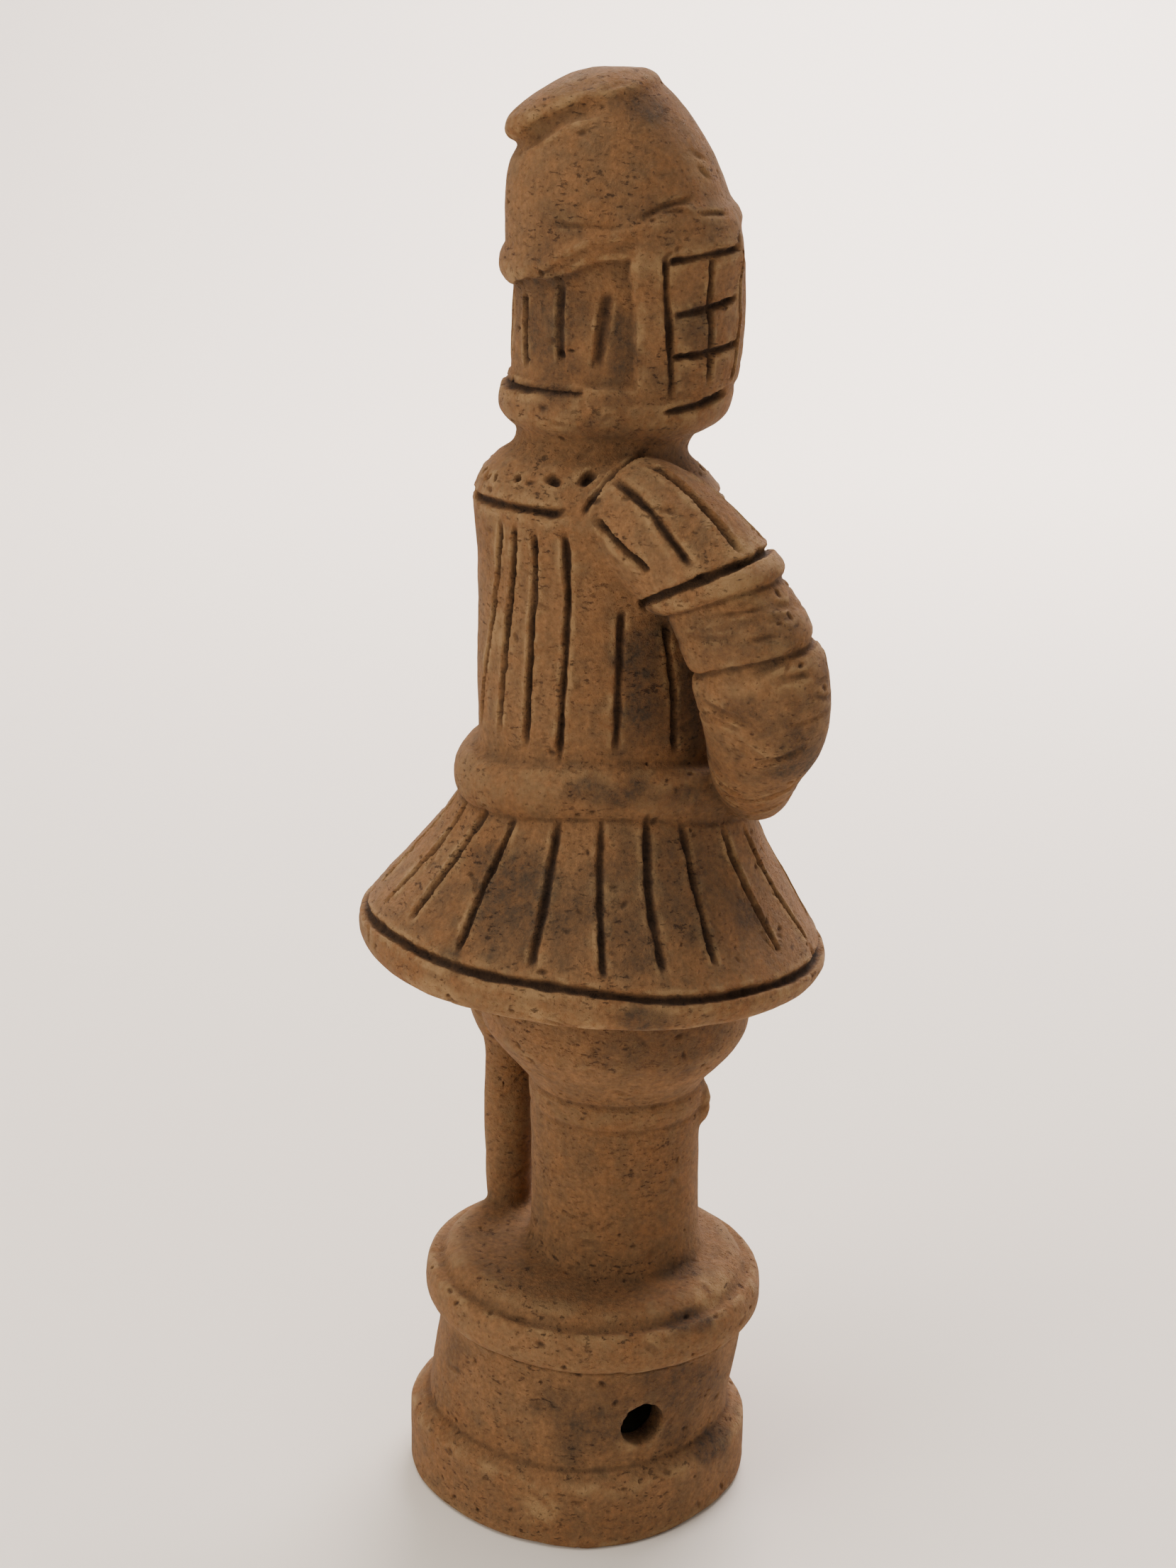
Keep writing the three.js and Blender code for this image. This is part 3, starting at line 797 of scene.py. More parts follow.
@dataclass
class Helmet:
    """A brim that arches over the cheeks and a dome whose crown is folded over at the back."""

    height: float = 201.0
    forward: float = 4.4
    lean: float = math.radians(-13)
    slimness: float = 0.94
    fold_middle: float = math.radians(200)
    fold_ends: tuple[float, float] = (math.radians(5), math.radians(75))
    side_arch: float = 4.2
    corner_arch: float = 3.0
    corner_at: float = 0.96
    corner_reach: float = 0.4
    rows: tuple[tuple[float, ...], ...] = (
        (-3.4, 0.2, -3.4, 0.2), (-3.4, 19.8, -3.4, 19.8), (-2.6, 21.8, -2.6, 21.6),
        (-0.8, 22.7, -0.8, 22.5), (1.2, 22.2, 1.2, 22.1), (2.6, 20.8, 2.6, 21.2), (5.2, 20.3, 5.2, 20.7),
        (12, 18.9, 12, 19.4), (17.4, 16.8, 17.6, 17.2), (19.6, 15.0, 21.4, 15.2), (20.5, 14.2, 24.3, 13.2),
        (20.8, 14.8, 25.5, 12.3), (21.6, 16.0, 26.1, 12.2), (23.0, 16.6, 26.9, 11.8),
        (24.9, 15.8, 27.8, 10.8), (26.4, 13.6, 28.6, 9.2), (28.2, 9.6, 29.4, 7.4), (29.6, 4.8, 29.9, 4.4),
        (30.0, 0.2, 30.1, 0.2),
    )

    def skin(self, angle: np.ndarray, rows: np.ndarray) -> np.ndarray:
        """Rows are the outline where the crown's fold hangs lowest and the one at the front and side that
        it climbs to, each as height and radius, in a frame that leans back with the raised head.

        The brim is thinner where the nape guard meets the cheeks.

        Args:
            angle: headings in radians, 0 at the figure's front.
            rows: height and radius of both outlines.

        Returns:
            (..., 3) places in millimetres.
        """
        folded = 1 - ramp(apart(angle, self.fold_middle), *self.fold_ends)
        height = rows[..., 2] + (rows[..., 0] - rows[..., 2]) * folded
        radius = rows[..., 3] + (rows[..., 1] - rows[..., 3]) * folded
        east, south = -np.sin(angle), -np.cos(angle)
        solid = rows[..., 1] > 1
        arch = self.side_arch * east * east * (1 - ramp(rows[..., 0], 1.0, 14.0)) * solid
        corner = np.exp(-(((apart(angle, math.pi) - self.corner_at) / self.corner_reach) ** 2))
        arch = arch + self.corner_arch * corner * (1 - ramp(rows[..., 0], -2.6, 1.5)) * solid
        across = east * radius * self.slimness
        return leant(across, south * radius, height + arch, self.lean, (self.forward, self.height))

    def surfaces(self) -> list[Surface]:
        """The brim and dome in one."""
        return [turned(refined(self.rows, 0.7), 170, self.skin)]

    def strokes(self) -> list[Stroke]:
        """The smears in the clay above the brim, and the end of the crown's fold.

        Returns:
            The marks.
        """
        lines = [
            ([(-10.0, 13.7, 254.9), (-18.4, 4.3, 254.2), (-19.8, 0.5, 255.1)], 1.3, 0.3),
            ([(-19.8, 0.5, 255.1), (-19.1, -4.7, 257.8), (-17.2, -11.6, 258.9)], 1.5, 0.5),
            ([(-19.0, -4.7, 258.1), (-19.3, -4.9, 256.9), (-19.4, -10.8, 256.6)], 1.0, 0.35),
            ([(-19.4, -10.8, 256.6), (-15.3, -18.9, 256.1)], 1.0, 0.35),
            (
                [
                    (-0.6, 16.0, 267.7), (-5.5, 15.1, 269.3), (-7.8, 13.1, 271.1), (-9.7, 10.7, 272.4),
                    (-10.6, 8.3, 273.4), (-11.4, 5.2, 274.2), (-11.9, 2.3, 274.7),
                ],
                3.6,
                0.8,
            ),
        ]
        return [Stroke(np.array(line), width, depth, 0.25, 0.25, 0.35) for line, width, depth in lines]


@dataclass
class Arm:
    """A ribbed shoulder guard with its cuff, the sleeve, and a forearm that meets the belt."""

    side: int
    wrinkles: int = 34
    path: tuple[tuple[float, float, float], ...] = (
        (-9, -0.5, 154.5), (-20, -3.6, 153), (-29.6, -13.4, 142.6), (-33.9, -18.6, 131.5),
        (-33.2, -21.8, 119.5), (-28, -22.8, 109.5), (-21.5, -25.4, 103), (-14, -28.2, 99),
    )
    rows: tuple[tuple[float, float], ...] = (
        (0, 0.5), (0.0, 7.5), (0.09, 10.9), (0.15, 11.9), (0.23, 12.3), (0.288, 12.6), (0.299, 11.9),
        (0.31, 12.6), (0.33, 12.9), (0.348, 12.4), (0.358, 11.1), (0.40, 11.4), (0.45, 11.9), (0.478, 11.9),
        (0.492, 11.3), (0.498, 10.8), (0.51, 11.6), (0.54, 12.3), (0.60, 12.1), (0.68, 11.2), (0.76, 9.5),
        (0.85, 7.9), (0.93, 6.9), (0.98, 5.2), (1.0, 3), (1.0, 0.5),
    )

    def curve(self) -> tuple[np.ndarray, np.ndarray]:
        """The arm's middle line as a centripetal Catmull-Rom curve, with shares of its length.

        Returns:
            (n, 3) points, and the share of the length at each.
        """
        points = np.array(self.path) * [-self.side, 1, 1] + [0, 0, PLINTH_TOP]
        points = np.vstack([2 * points[0] - points[1], points, 2 * points[-1] - points[-2]])
        pieces = []
        for a, b, c, d in zip(points, points[1:], points[2:], points[3:]):
            gaps = [max(np.linalg.norm(q - p) ** 0.5, 1e-4) for p, q in ((a, b), (b, c), (c, d))]
            first = (b - a) / gaps[0] - (c - a) / (gaps[0] + gaps[1]) + (c - b) / gaps[1]
            second = (c - b) / gaps[1] - (d - b) / (gaps[1] + gaps[2]) + (d - c) / gaps[2]
            t = np.linspace(0, 1, 40, endpoint=False)[:, None]
            one, two = first * gaps[1], second * gaps[1]
            pieces.append(
                b + one * t + (-3 * b + 3 * c - 2 * one - two) * t**2 + (2 * b - 2 * c + one + two) * t**3
            )
        line = np.vstack([*pieces, points[-2]])
        share = np.concatenate([[0], np.cumsum(np.linalg.norm(np.diff(line, axis=0), axis=1))])
        return line, share / share[-1]

    def skin(self, angle: np.ndarray, rows: np.ndarray) -> np.ndarray:
        """Round sections square to the middle line, turned towards level at the cuff.

        Args:
            angle: turn about the middle line.
            rows: share of the length and radius.

        Returns:
            (..., 3) places in millimetres.
        """
        line, shares = self.curve()
        share, radius = rows[..., 0], rows[..., 1]
        centre = np.stack([np.interp(share, shares, line[:, c]) for c in range(3)], axis=-1)
        slopes = np.gradient(line, axis=0)
        along = np.stack([np.interp(share, shares, slopes[:, c]) for c in range(3)], axis=-1)
        along /= np.linalg.norm(along, axis=-1, keepdims=True)
        level = (0.45 * ramp(share, 0.08, 0.3) * (1 - ramp(share, 0.38, 0.56)))[..., None]
        along = along * (1 - level) + np.array([0, 0, -1.0]) * level
        along /= np.linalg.norm(along, axis=-1, keepdims=True)
        out = np.array([self.side, 0, 0.35]) - along * (along @ np.array([self.side, 0, 0.35]))[..., None]
        out /= np.linalg.norm(out, axis=-1, keepdims=True)
        across = np.cross(along, out)
        turn = np.broadcast_arrays(angle, share)[0][..., None]
        return centre + (out * np.cos(turn) - across * np.sin(turn)) * radius[..., None]

    def surfaces(self) -> list[Surface]:
        """The whole arm. Shares of its length are taken as millimetres while the rows are refined."""
        length = [110.0, 1.0]
        return [turned(refined(np.array(self.rows) * length, 0.7) / length, 110, self.skin)]

    def strokes(self) -> list[Stroke]:
        """Ribs of the guard, the line over its cuff, and the folds of the sleeve.

        They are given for the right arm in the plinth's frame and mirrored for the left.

        Returns:
            The marks.
        """
        ribs = [
            [(-22.3, 8.0, 204.7), (-28.4, 5.7, 200.8), (-33.5, 1.8, 196.6)],
            [(-20.0, 4.4, 211.6), (-30.5, 0.6, 207.4), (-38.2, -4.6, 198.3)],
            [(-21.2, -1.6, 213.4), (-31.2, -8.2, 208.5), (-38.6, -14.1, 200.4)],
            [(-19.8, -8.0, 212.8), (-27.2, -15.0, 208.6), (-32.6, -20.8, 201.2)],
            [(-17.0, -12.5, 209.6), (-22.0, -19.5, 204.0), (-25.0, -23.5, 198.0)],
        ]
        mirror = np.array([-self.side, 1, 1])
        marks = [Stroke(np.array(rib) * mirror, 1.8, 1.5, 0.2, 0.12) for rib in ribs]
        turn = np.linspace(math.radians(-140), math.radians(140), 60)
        for share, radius, width, depth, sway in (
            (0.299, 12.1, 1.8, 1.1, 0.004), (0.36, 11.1, 1.4, 0.3, 0.003), (0.496, 11.1, 1.4, 0.45, 0.008),
            (0.42, 11.5, 1.6, 0.15, 0.012),
        ):
            rows = np.stack([share + sway * np.sin(2 * turn), np.full(60, radius)], axis=-1)
            marks.append(Stroke(self.skin(turn, rows), width, depth, 0.1, 0.1))
        rng = np.random.default_rng(41)
        for _ in range(self.wrinkles):
            middle, reach = rng.uniform(-120, 120), rng.uniform(12, 34)
            span = np.radians(np.linspace(middle - reach, middle + reach, 14))
            start, slant = rng.uniform(0.37, 0.84), rng.uniform(-0.035, 0.035)
            share = start + slant * np.linspace(-1, 1, 14)
            radius = np.interp(share, *np.transpose(self.rows)[:, 1:-1])
            path = self.skin(span, np.stack([share, radius], axis=-1))
            marks.append(Stroke(path, rng.uniform(0.9, 2.2), rng.uniform(0.25, 0.6), 0.35, 0.35, 0.6))
        return marks


@dataclass
class Sword:
    """The scabbard's end, which stands on the deck at the left, and the hilt at the belly."""

    place: tuple[float, float] = (23.0, 7.8)
    pommel: tuple[float, float, float] = (-11.0, -37.0, 107.0)
    guard: tuple[float, float, float] = (24.0, -27.0, 97.0)
    rows: tuple[tuple[float, float], ...] = (
        (-1.6, 2), (-1.2, 3.6), (0.6, 4.5), (3, 4.8), (18, 5.3), (33, 5.1), (36.5, 5.5), (40, 7.0),
        (44, 8.4), (50, 9.4), (76, 10),
    )

    def surfaces(self) -> list[Surface]:
        """Both ends of the sword.

        Returns:
            The closed surfaces.
        """
        scabbard = Rod((*self.place, PLINTH_TOP), (0, 0, 1), (0, -1, 0), (1, 0, 0))
        start, end = np.array(self.pommel), np.array(self.guard)
        length = float(np.linalg.norm(end - start))
        axis = (end - start) / length
        side = np.cross(axis, [0, 0, 1.0])
        side /= np.linalg.norm(side)
        hilt = Rod(start + [0, 0, PLINTH_TOP], axis, side, np.cross(axis, side))
        outline = [(0, 0.2), (0.3, 3.4), (1.2, 4.7), (2.8, 5.0), (4.2, 4.6), (5.2, 3.6), (9, 3.4)]
        outline += [(length - 4, 3.4), (length - 3, 4.2), (length - 2, 5.2)]
        outline += [(length - 0.4, 5.2), (length, 4.6), (length, 0.2)]
        sheath = turned(refined(self.rows, 0.8), 60, scabbard.skin)
        return [sheath, turned(refined(outline, 0.6), 60, hilt.skin)]

    def strokes(self) -> list[Stroke]:
        """The binding of the grip.

        Returns:
            The marks.
        """
        start, end = np.array(self.pommel), np.array(self.guard)
        turn = np.linspace(math.radians(-100), math.radians(100), 12)
        marks = []
        for share in (0.25, 0.34, 0.43):
            middle = start + (end - start) * share + [0, 0, PLINTH_TOP]
            ring = middle + np.stack([0.28 * np.sin(turn), -3.4 * np.cos(turn), 3.4 * np.sin(turn)], axis=-1)
            marks.append(Stroke(ring, 1.2, 0.6, 0.2, 0.2))
        return marks


# The clay


class Finder:
    """Finds the points that lie in a box, from an order by height made once."""

    def __init__(self, points: np.ndarray) -> None:
        """Sorts the (n, 3) points by height."""
        self.points = points
        self.order = np.argsort(points[:, 2])
        self.heights = points[self.order, 2]

    def inside(self, low: np.ndarray, high: np.ndarray) -> np.ndarray:
        """The points between two corners.

        Args:
            low: the lowest corner.
            high: the highest corner.

        Returns:
            Their numbers.
        """
        first, last = np.searchsorted(self.heights, [low[2], high[2]])
        near = self.order[first:last]
        return near[np.all((self.points[near] > low) & (self.points[near] < high), axis=1)]


def way_over(rng: np.random.Generator, normal: np.ndarray, rise: float) -> np.ndarray:
    """A random direction on the surface, mostly level.

    Args:
        rng: where the three draws come from.
        normal: the surface's unit normal.
        rise: how much of the upright draw is kept.

    Returns:
        The unit direction.
    """
    way = rng.normal(size=3) * [1, 1, rise]
    way -= way @ normal * normal
    return way / max(np.linalg.norm(way), 1e-6)


@dataclass
class Clay:
    """The fused skin of the figure, as arrays that a potter's steps work on."""

    points: np.ndarray
    quads: np.ndarray
    edges: np.ndarray
    marks: dict[str, np.ndarray] = field(default_factory=dict)

    # Height, size and seed of swells, finger dents, small lumps and tool marks, in millimetres
    LUMPS: ClassVar[Layers] = ((0.30, 27.0, 1), (0.17, 10.0, 2), (0.10, 4.6, 3), (0.05, 2.0, 4))
    # How a mark strays from its line and how its depth varies, and the raggedness of stains
    STRAY: ClassVar[Layers] = ((0.22, 3.0, 7), (0.12, 1.2, 8))
    UNEVEN: ClassVar[Layers] = ((0.28, 5.0, 9),)
    RAGGED: ClassVar[Layers] = ((0.55, 6.0, 21), (0.45, 2.2, 22))
    # What share of the way a point goes in one round: luting, and softening there and back
    LUTE: ClassVar[float] = 0.6
    SOFTEN: ClassVar[tuple[float, float]] = (0.5, 0.47)
    # Rounds of spreading that give the surface around a point, and the depth of a full crease
    CREASE_ROUNDS: ClassVar[int] = 14
    CREASE_DEPTH: ClassVar[float] = 0.35
    # How far round its line a mark is looked for, and how far off the surface that line may lie
    MARGIN: ClassVar[float] = 4.0
    OFF_SURFACE: ClassVar[float] = 2.6
    # The raised edge of a mark: its place in half widths, its own width and its height
    BURR: ClassVar[tuple[float, float, float]] = (1.25, 0.45, 0.16)
    # Grit holes: smallest and largest radius and depth, and how far round one is looked for
    HOLE_RADIUS: ClassVar[tuple[float, float]] = (0.3, 0.75)
    HOLE_DEPTH: ClassVar[tuple[float, float]] = (0.15, 0.45)
    HOLE_MARGIN: ClassVar[float] = 3.0

    @classmethod
    def of(cls, mesh: bpy.types.Mesh) -> Clay:
        """Reads a mesh of four-sided faces, in metres.

        Args:
            mesh: a mesh with only four-sided faces.

        Returns:
            Its points in millimetres, faces and edges.
        """
        corners = np.empty(len(mesh.loops), np.int32)
        mesh.loops.foreach_get("vertex_index", corners)
        edges = np.empty(len(mesh.edges) * 2, np.int32)
        mesh.edges.foreach_get("vertices", edges)
        return cls(points_of(mesh) / MM, corners.reshape(-1, 4), edges.reshape(-1, 2))

    def spread(self, values: np.ndarray) -> np.ndarray:
        """Each point's values replaced by the mean of its neighbours'.

        Args:
            values: (n,) or (n, columns) values at the points.

        Returns:
            The means, in the same shape.
        """
        one, two = self.edges.T
        count = len(self.points)
        degree = np.bincount(one, minlength=count) + np.bincount(two, minlength=count)
        table = values.reshape(count, -1)
        total = np.stack(
            [
                np.bincount(one, table[two, c], count) + np.bincount(two, table[one, c], count)
                for c in range(table.shape[1])
            ],
            axis=-1,
        )
        return (total / np.maximum(degree, 1)[:, None]).reshape(values.shape)

    def normals(self) -> np.ndarray:
        """Unit normals at the points, from the crossed diagonals of the faces around each.

        Returns:
            (n, 3) unit normals.
        """
        a, b, c, d = (self.points[self.quads[:, k]] for k in range(4))
        face = np.cross(c - a, d - b)
        total = np.zeros_like(self.points)
        for k in range(4):
            for axis in range(3):
                total[:, axis] += np.bincount(self.quads[:, k], face[:, axis], len(self.points))
        return total / np.maximum(np.linalg.norm(total, axis=1, keepdims=True), 1e-12)

    def lute(self, rounds: int) -> None:
        """Fills inner corners: a point that lies below the mean of its neighbours rises towards it, and one
        that lies above it stays.

        Args:
            rounds: how often; each round reaches one point further.
        """
        for step in range(rounds):
            if step % 5 == 0:
                normals = self.normals()
            pull = self.spread(self.points) - self.points
            inward = np.einsum("ij,ij->i", pull, normals) > 0
            self.points = self.points + self.LUTE * pull * inward[:, None]

    def soften(self, rounds: int) -> None:
        """Rounds every edge a little, without shrinking the whole.

        Args:
            rounds: how often.
        """
        there, back = self.SOFTEN
        for _ in range(rounds):
            self.points = self.points + there * (self.spread(self.points) - self.points)
            self.points = self.points - back * (self.spread(self.points) - self.points)

    def dent(self) -> None:
        """Unevenness of hand-built clay: slow swells, finger dents and small lumps."""
        self.points = self.points + self.normals() * layered(self.points, self.LUMPS)[:, None]

    def press(self, strokes: Sequence[Stroke]) -> None:
        """Presses the stylus marks in.

        The distance from a point to a mark's line is measured across the surface, so a line
        that lies a little above or below it still marks it. The depth falls with the square
        of that distance to nothing at the groove's edge, outside which the clay stands up.

        Args:
            strokes: the marks.
        """
        normals = self.normals()
        finder = Finder(self.points)
        depth, burr, shade = np.zeros((3, len(self.points)))
        lip_at, lip_width, lip_rise = self.BURR
        stray = layered(self.points, self.STRAY)
        uneven = 1.0 + layered(self.points, self.UNEVEN)
        for stroke in strokes:
            near = finder.inside(stroke.path.min(0) - self.MARGIN, stroke.path.max(0) + self.MARGIN)
            if not len(near):
                continue
            away, share = self.reach(self.points[near], normals[near], stroke.path)
            close = away < self.MARGIN
            near, away, share = near[close], away[close], share[close]
            away = np.abs(away + stray[near])
            half = stroke.width / 2
            taper = ramp(share, 0.0, stroke.lead) * (1 - ramp(share, 1 - stroke.trail, 1.0))
            strength = taper * uneven[near]
            cut = np.clip(1 - (away / half) ** 2, 0, 1) ** 0.9
            depth[near] = np.maximum(depth[near], stroke.depth * strength * cut)
            lip = np.exp(-(((away - half * lip_at) / lip_width) ** 2))
            burr[near] = np.maximum(burr[near], lip_rise * taper * lip * min(stroke.depth, 1.0))
            dark = strength * np.clip(1.2 - away / half, 0, 1) * min(1.0, stroke.depth) * stroke.tone
            shade[near] = np.maximum(shade[near], dark)
        self.points = self.points + normals * (burr * (depth < 0.05) - depth)[:, None]
        self.marks["stroke"] = np.clip(shade, 0, 1)

    def reach(
        self, points: np.ndarray, normals: np.ndarray, path: np.ndarray
    ) -> tuple[np.ndarray, np.ndarray]:
        """How far points are from a line, across the surface, and how far along it they are.

        Args:
            points: (n, 3) places.
            normals: (n, 3) unit normals there.
            path: (m, 3) points of the line.

        Returns:
            The distances, and the shares of the line's length.
        """
        best = np.full(len(points), 1e3)
        share = np.zeros(len(points))
        steps = np.linalg.norm(np.diff(path, axis=0), axis=1)
        start = np.concatenate([[0], np.cumsum(steps)])
        for k, (one, two) in enumerate(zip(path, path[1:])):
            way = two - one
            t = np.clip((points - one) @ way / max(way @ way, 1e-9), 0, 1)
            offset = points - one - t[:, None] * way
            rise = np.einsum("ij,ij->i", offset, normals)
            flat = np.linalg.norm(offset - rise[:, None] * normals, axis=1)
            flat = np.where(np.abs(rise) < self.OFF_SURFACE, flat, 1e3)
            closer = flat < best
            best = np.where(closer, flat, best)
            share = np.where(closer, (start[k] + t * steps[k]) / start[-1], share)
        return best, share

    def pit(self, count: int) -> None:
        """Small holes where grit was dragged out, at seeded random places.

        Args:
            count: number of holes.
        """
        rng = np.random.default_rng(11)
        normals = self.normals()
        finder = Finder(self.points)
        sink = np.zeros(len(self.points))
        for place in rng.choice(len(self.points), count, replace=False):
            centre = self.points[place]
            radius = rng.uniform(*self.HOLE_RADIUS)
            along = way_over(rng, normals[place], 0.4)
            near = finder.inside(centre - self.HOLE_MARGIN, centre + self.HOLE_MARGIN)
            offset = self.points[near] - centre
            lengthwise = offset @ along
            away = np.sqrt(np.einsum("ij,ij->i", offset, offset) - 0.7 * lengthwise**2) / radius
            deep = rng.uniform(*self.HOLE_DEPTH) * np.clip(1 - away**2, 0, 1)
            sink[near] = np.maximum(sink[near], deep)
        self.points = self.points - normals * sink[:, None]
        self.marks["pit"] = np.clip(sink / self.HOLE_DEPTH[1], 0, 1)

    def drags(self, count: int) -> list[Stroke]:
        """Shallow scratches where the tool or a thumb dragged over the leather-hard clay, at seeded random
        places and mostly level.

        Args:
            count: number of scratches.

        Returns:
            The marks.
        """
        rng = np.random.default_rng(17)
        normals = self.normals()
        found = []
        for place in rng.choice(len(self.points), count, replace=False):
            way = way_over(rng, normals[place], 0.45)
            bend = np.cross(normals[place], way) * rng.uniform(-0.6, 0.6)
            share = np.linspace(-1, 1, 5)[:, None]
            path = self.points[place] + way * share * rng.uniform(1.2, 4.2) + bend * share**2
            width, depth = rng.uniform(0.7, 1.7), rng.uniform(0.10, 0.34)
            found.append(Stroke(path, width, depth, 0.4, 0.4))
        return found

    def weather(self, stains: dict[StainKind, Sequence[Sequence[float]]]) -> None:
        """Works out where the surface is creased, rubbed, sooty, painted with shade and pale.

        crease is how far a point lies below the mean of the surface around it, so it is high
        in corners and below zero on edges; the material paints shade where it is high. The stains are round
        patches with ragged edges.

        Args:
            stains: for each kind its patches, as middle, reach each way and strength.
        """
        mean = self.points
        for _ in range(self.CREASE_ROUNDS):
            mean = self.spread(mean)
        below = np.einsum("ij,ij->i", mean - self.points, self.normals())
        self.marks["crease"] = np.clip(below / self.CREASE_DEPTH, -1, 1) * 0.5 + 0.5
        ragged = layered(self.points, self.RAGGED)
        for kind, patches in stains.items():
            total = np.zeros(len(self.points))
            for patch in np.array(patches, float):
                offset = (self.points - patch[:3]) / patch[3:6]
                away = np.sqrt(np.einsum("ij,ij->i", offset, offset))
                total = np.maximum(total, patch[6] * ramp(1.15 - away + 0.75 * ragged, 0.0, 0.7))
            self.marks[kind.value] = total

    def into(self, mesh: bpy.types.Mesh) -> None:
        """Writes the points and marks back to the mesh, in metres.

        Args:
            mesh: the mesh that the points came from.
        """
        mesh.vertices.foreach_set("co", (self.points * MM).astype(np.float32).ravel())
        for name, values in self.marks.items():
            layer = mesh.attributes.new(name, "FLOAT", "POINT")
            layer.data.foreach_set("value", values.astype(np.float32))
        mesh.update()


class StainKind(Enum):
    """What lies on the clay, by the name of the attribute that carries it. The soot also carries painted
    shade.
    """

    SOOT_AND_SHADE = "soot_and_shade"
    PALE = "pale"


# Patches on the clay: the middle of each and its reach each way, in millimetres, and its strength. Many soot
# patches are painted shade: under the right arm, on the forearm, the skirt's sides, the flare, the drum and
# the nape.
STAINS = {
    StainKind.SOOT_AND_SHADE: (
        (-43.3, 4.8, 117.5, 4, 7, 3, 0.9), (-32.3, 15.3, 130.3, 6, 7, 7, 0.5),
        (-36.2, 3.0, 128.0, 6, 8, 8, 0.7), (-33.0, -8.5, 132.0, 6, 8, 8, 0.65),
        (-29.2, -20.8, 130.6, 6, 7, 7, 0.75), (-18.9, 24.5, 137.5, 6, 6, 9, 0.4),
        (-30.9, -12.1, 45.6, 4, 7, 2.4, 0.95), (-26.1, -20.5, 13.5, 6, 8, 4, 0.95),
        (-30.5, -9.5, 20.0, 4, 6, 4, 0.5), (-17.0, 4.7, 218.6, 7, 8, 3.0, 0.45),
        (-12.3, -3.1, 274.3, 7, 7, 3.5, 0.7), (-18.4, 2.5, 231.7, 4, 3.5, 8, 0.9),
        (-19.2, -12.1, 239.1, 5, 6, 6, 0.7), (-16.3, -15.6, 49.3, 6, 6, 3, 0.55),
        (-23.4, -15.3, 150.2, 6, 7, 5, 0.5), (-4.5, 28.3, 31.3, 5, 4, 6, 0.5),
        # Most patches on this line and the next four are painted shade: under the arm, on the forearm, the
        # skirt's sides, the flare, the drum and the nape
        (-25.0, -2.0, 176.0, 6, 8, 17, 0.95), (-24.0, -14.0, 168.0, 6, 7, 16, 0.8),
        (-36.0, -22.0, 168.0, 12, 12, 15, 0.95), (-40.0, -14.0, 184.0, 7, 10, 6, 0.5),
        (-28.0, -2.0, 136.0, 12, 22, 11, 0.6), (-22.0, 22.0, 134.0, 15, 17, 14, 0.9),
        (-27.0, -6.0, 104.0, 7, 20, 10, 0.5), (-27.0, -6.0, 27.0, 11, 23, 11, 0.72),
        (-13.0, 14.0, 236.0, 12, 9, 12, 0.8), (-12.0, -12.0, 212.0, 7, 6, 3, 0.35),
        (-19.0, -4.0, 257.6, 4, 7, 2.6, 0.5), (-13.0, 13.0, 254.5, 7, 6, 3.0, 0.4),
        (-22.5, -6.0, 228.0, 4, 8, 4, 0.45), (34, 4.8, 124.0, 7, 9, 8, 0.6), (30, 22, 134.0, 9, 9, 9, 0.4),
        (24, -6, 176.0, 6, 8, 14, 0.6), (20, -30, 128.0, 8, 7, 8, 0.5), (-22.2, 7.8, 155.0, 5, 6, 3.0, 0.8),
        (-24.7, 0.5, 153.6, 5, 6, 3.2, 0.95), (-25.3, -8.5, 152.2, 5, 7, 3.2, 0.9),
        (-40.9, -20.9, 161.6, 5, 6, 5, 0.7),
    ),
    StainKind.PALE: (
        (-29.0, 18.3, 9.1, 4, 6, 5, 0.9), (-37.2, 22.3, 117.3, 4, 9, 2.6, 1.0),
        (-40.4, 13.2, 116.4, 4, 7, 2.4, 1.0), (-20.0, 37.0, 118.0, 9, 6, 2.8, 0.95),
        (-5.0, 15.6, 270.6, 6, 3, 2.6, 0.8), (-14.7, -13.1, 263.1, 3, 4, 4, 0.4),
        (-37.1, -14.7, 201.0, 6, 8, 4, 0.8), (-42.2, -10.8, 195.2, 3, 7, 3, 0.5),
        (-24.0, -19.0, 47.6, 6, 6, 2.4, 1.0), (-43.5, -17.1, 178.7, 3, 7, 2.4, 0.5),
        (-30.9, 5.3, 137.6, 3, 4, 4, 0.45),
    ),
}


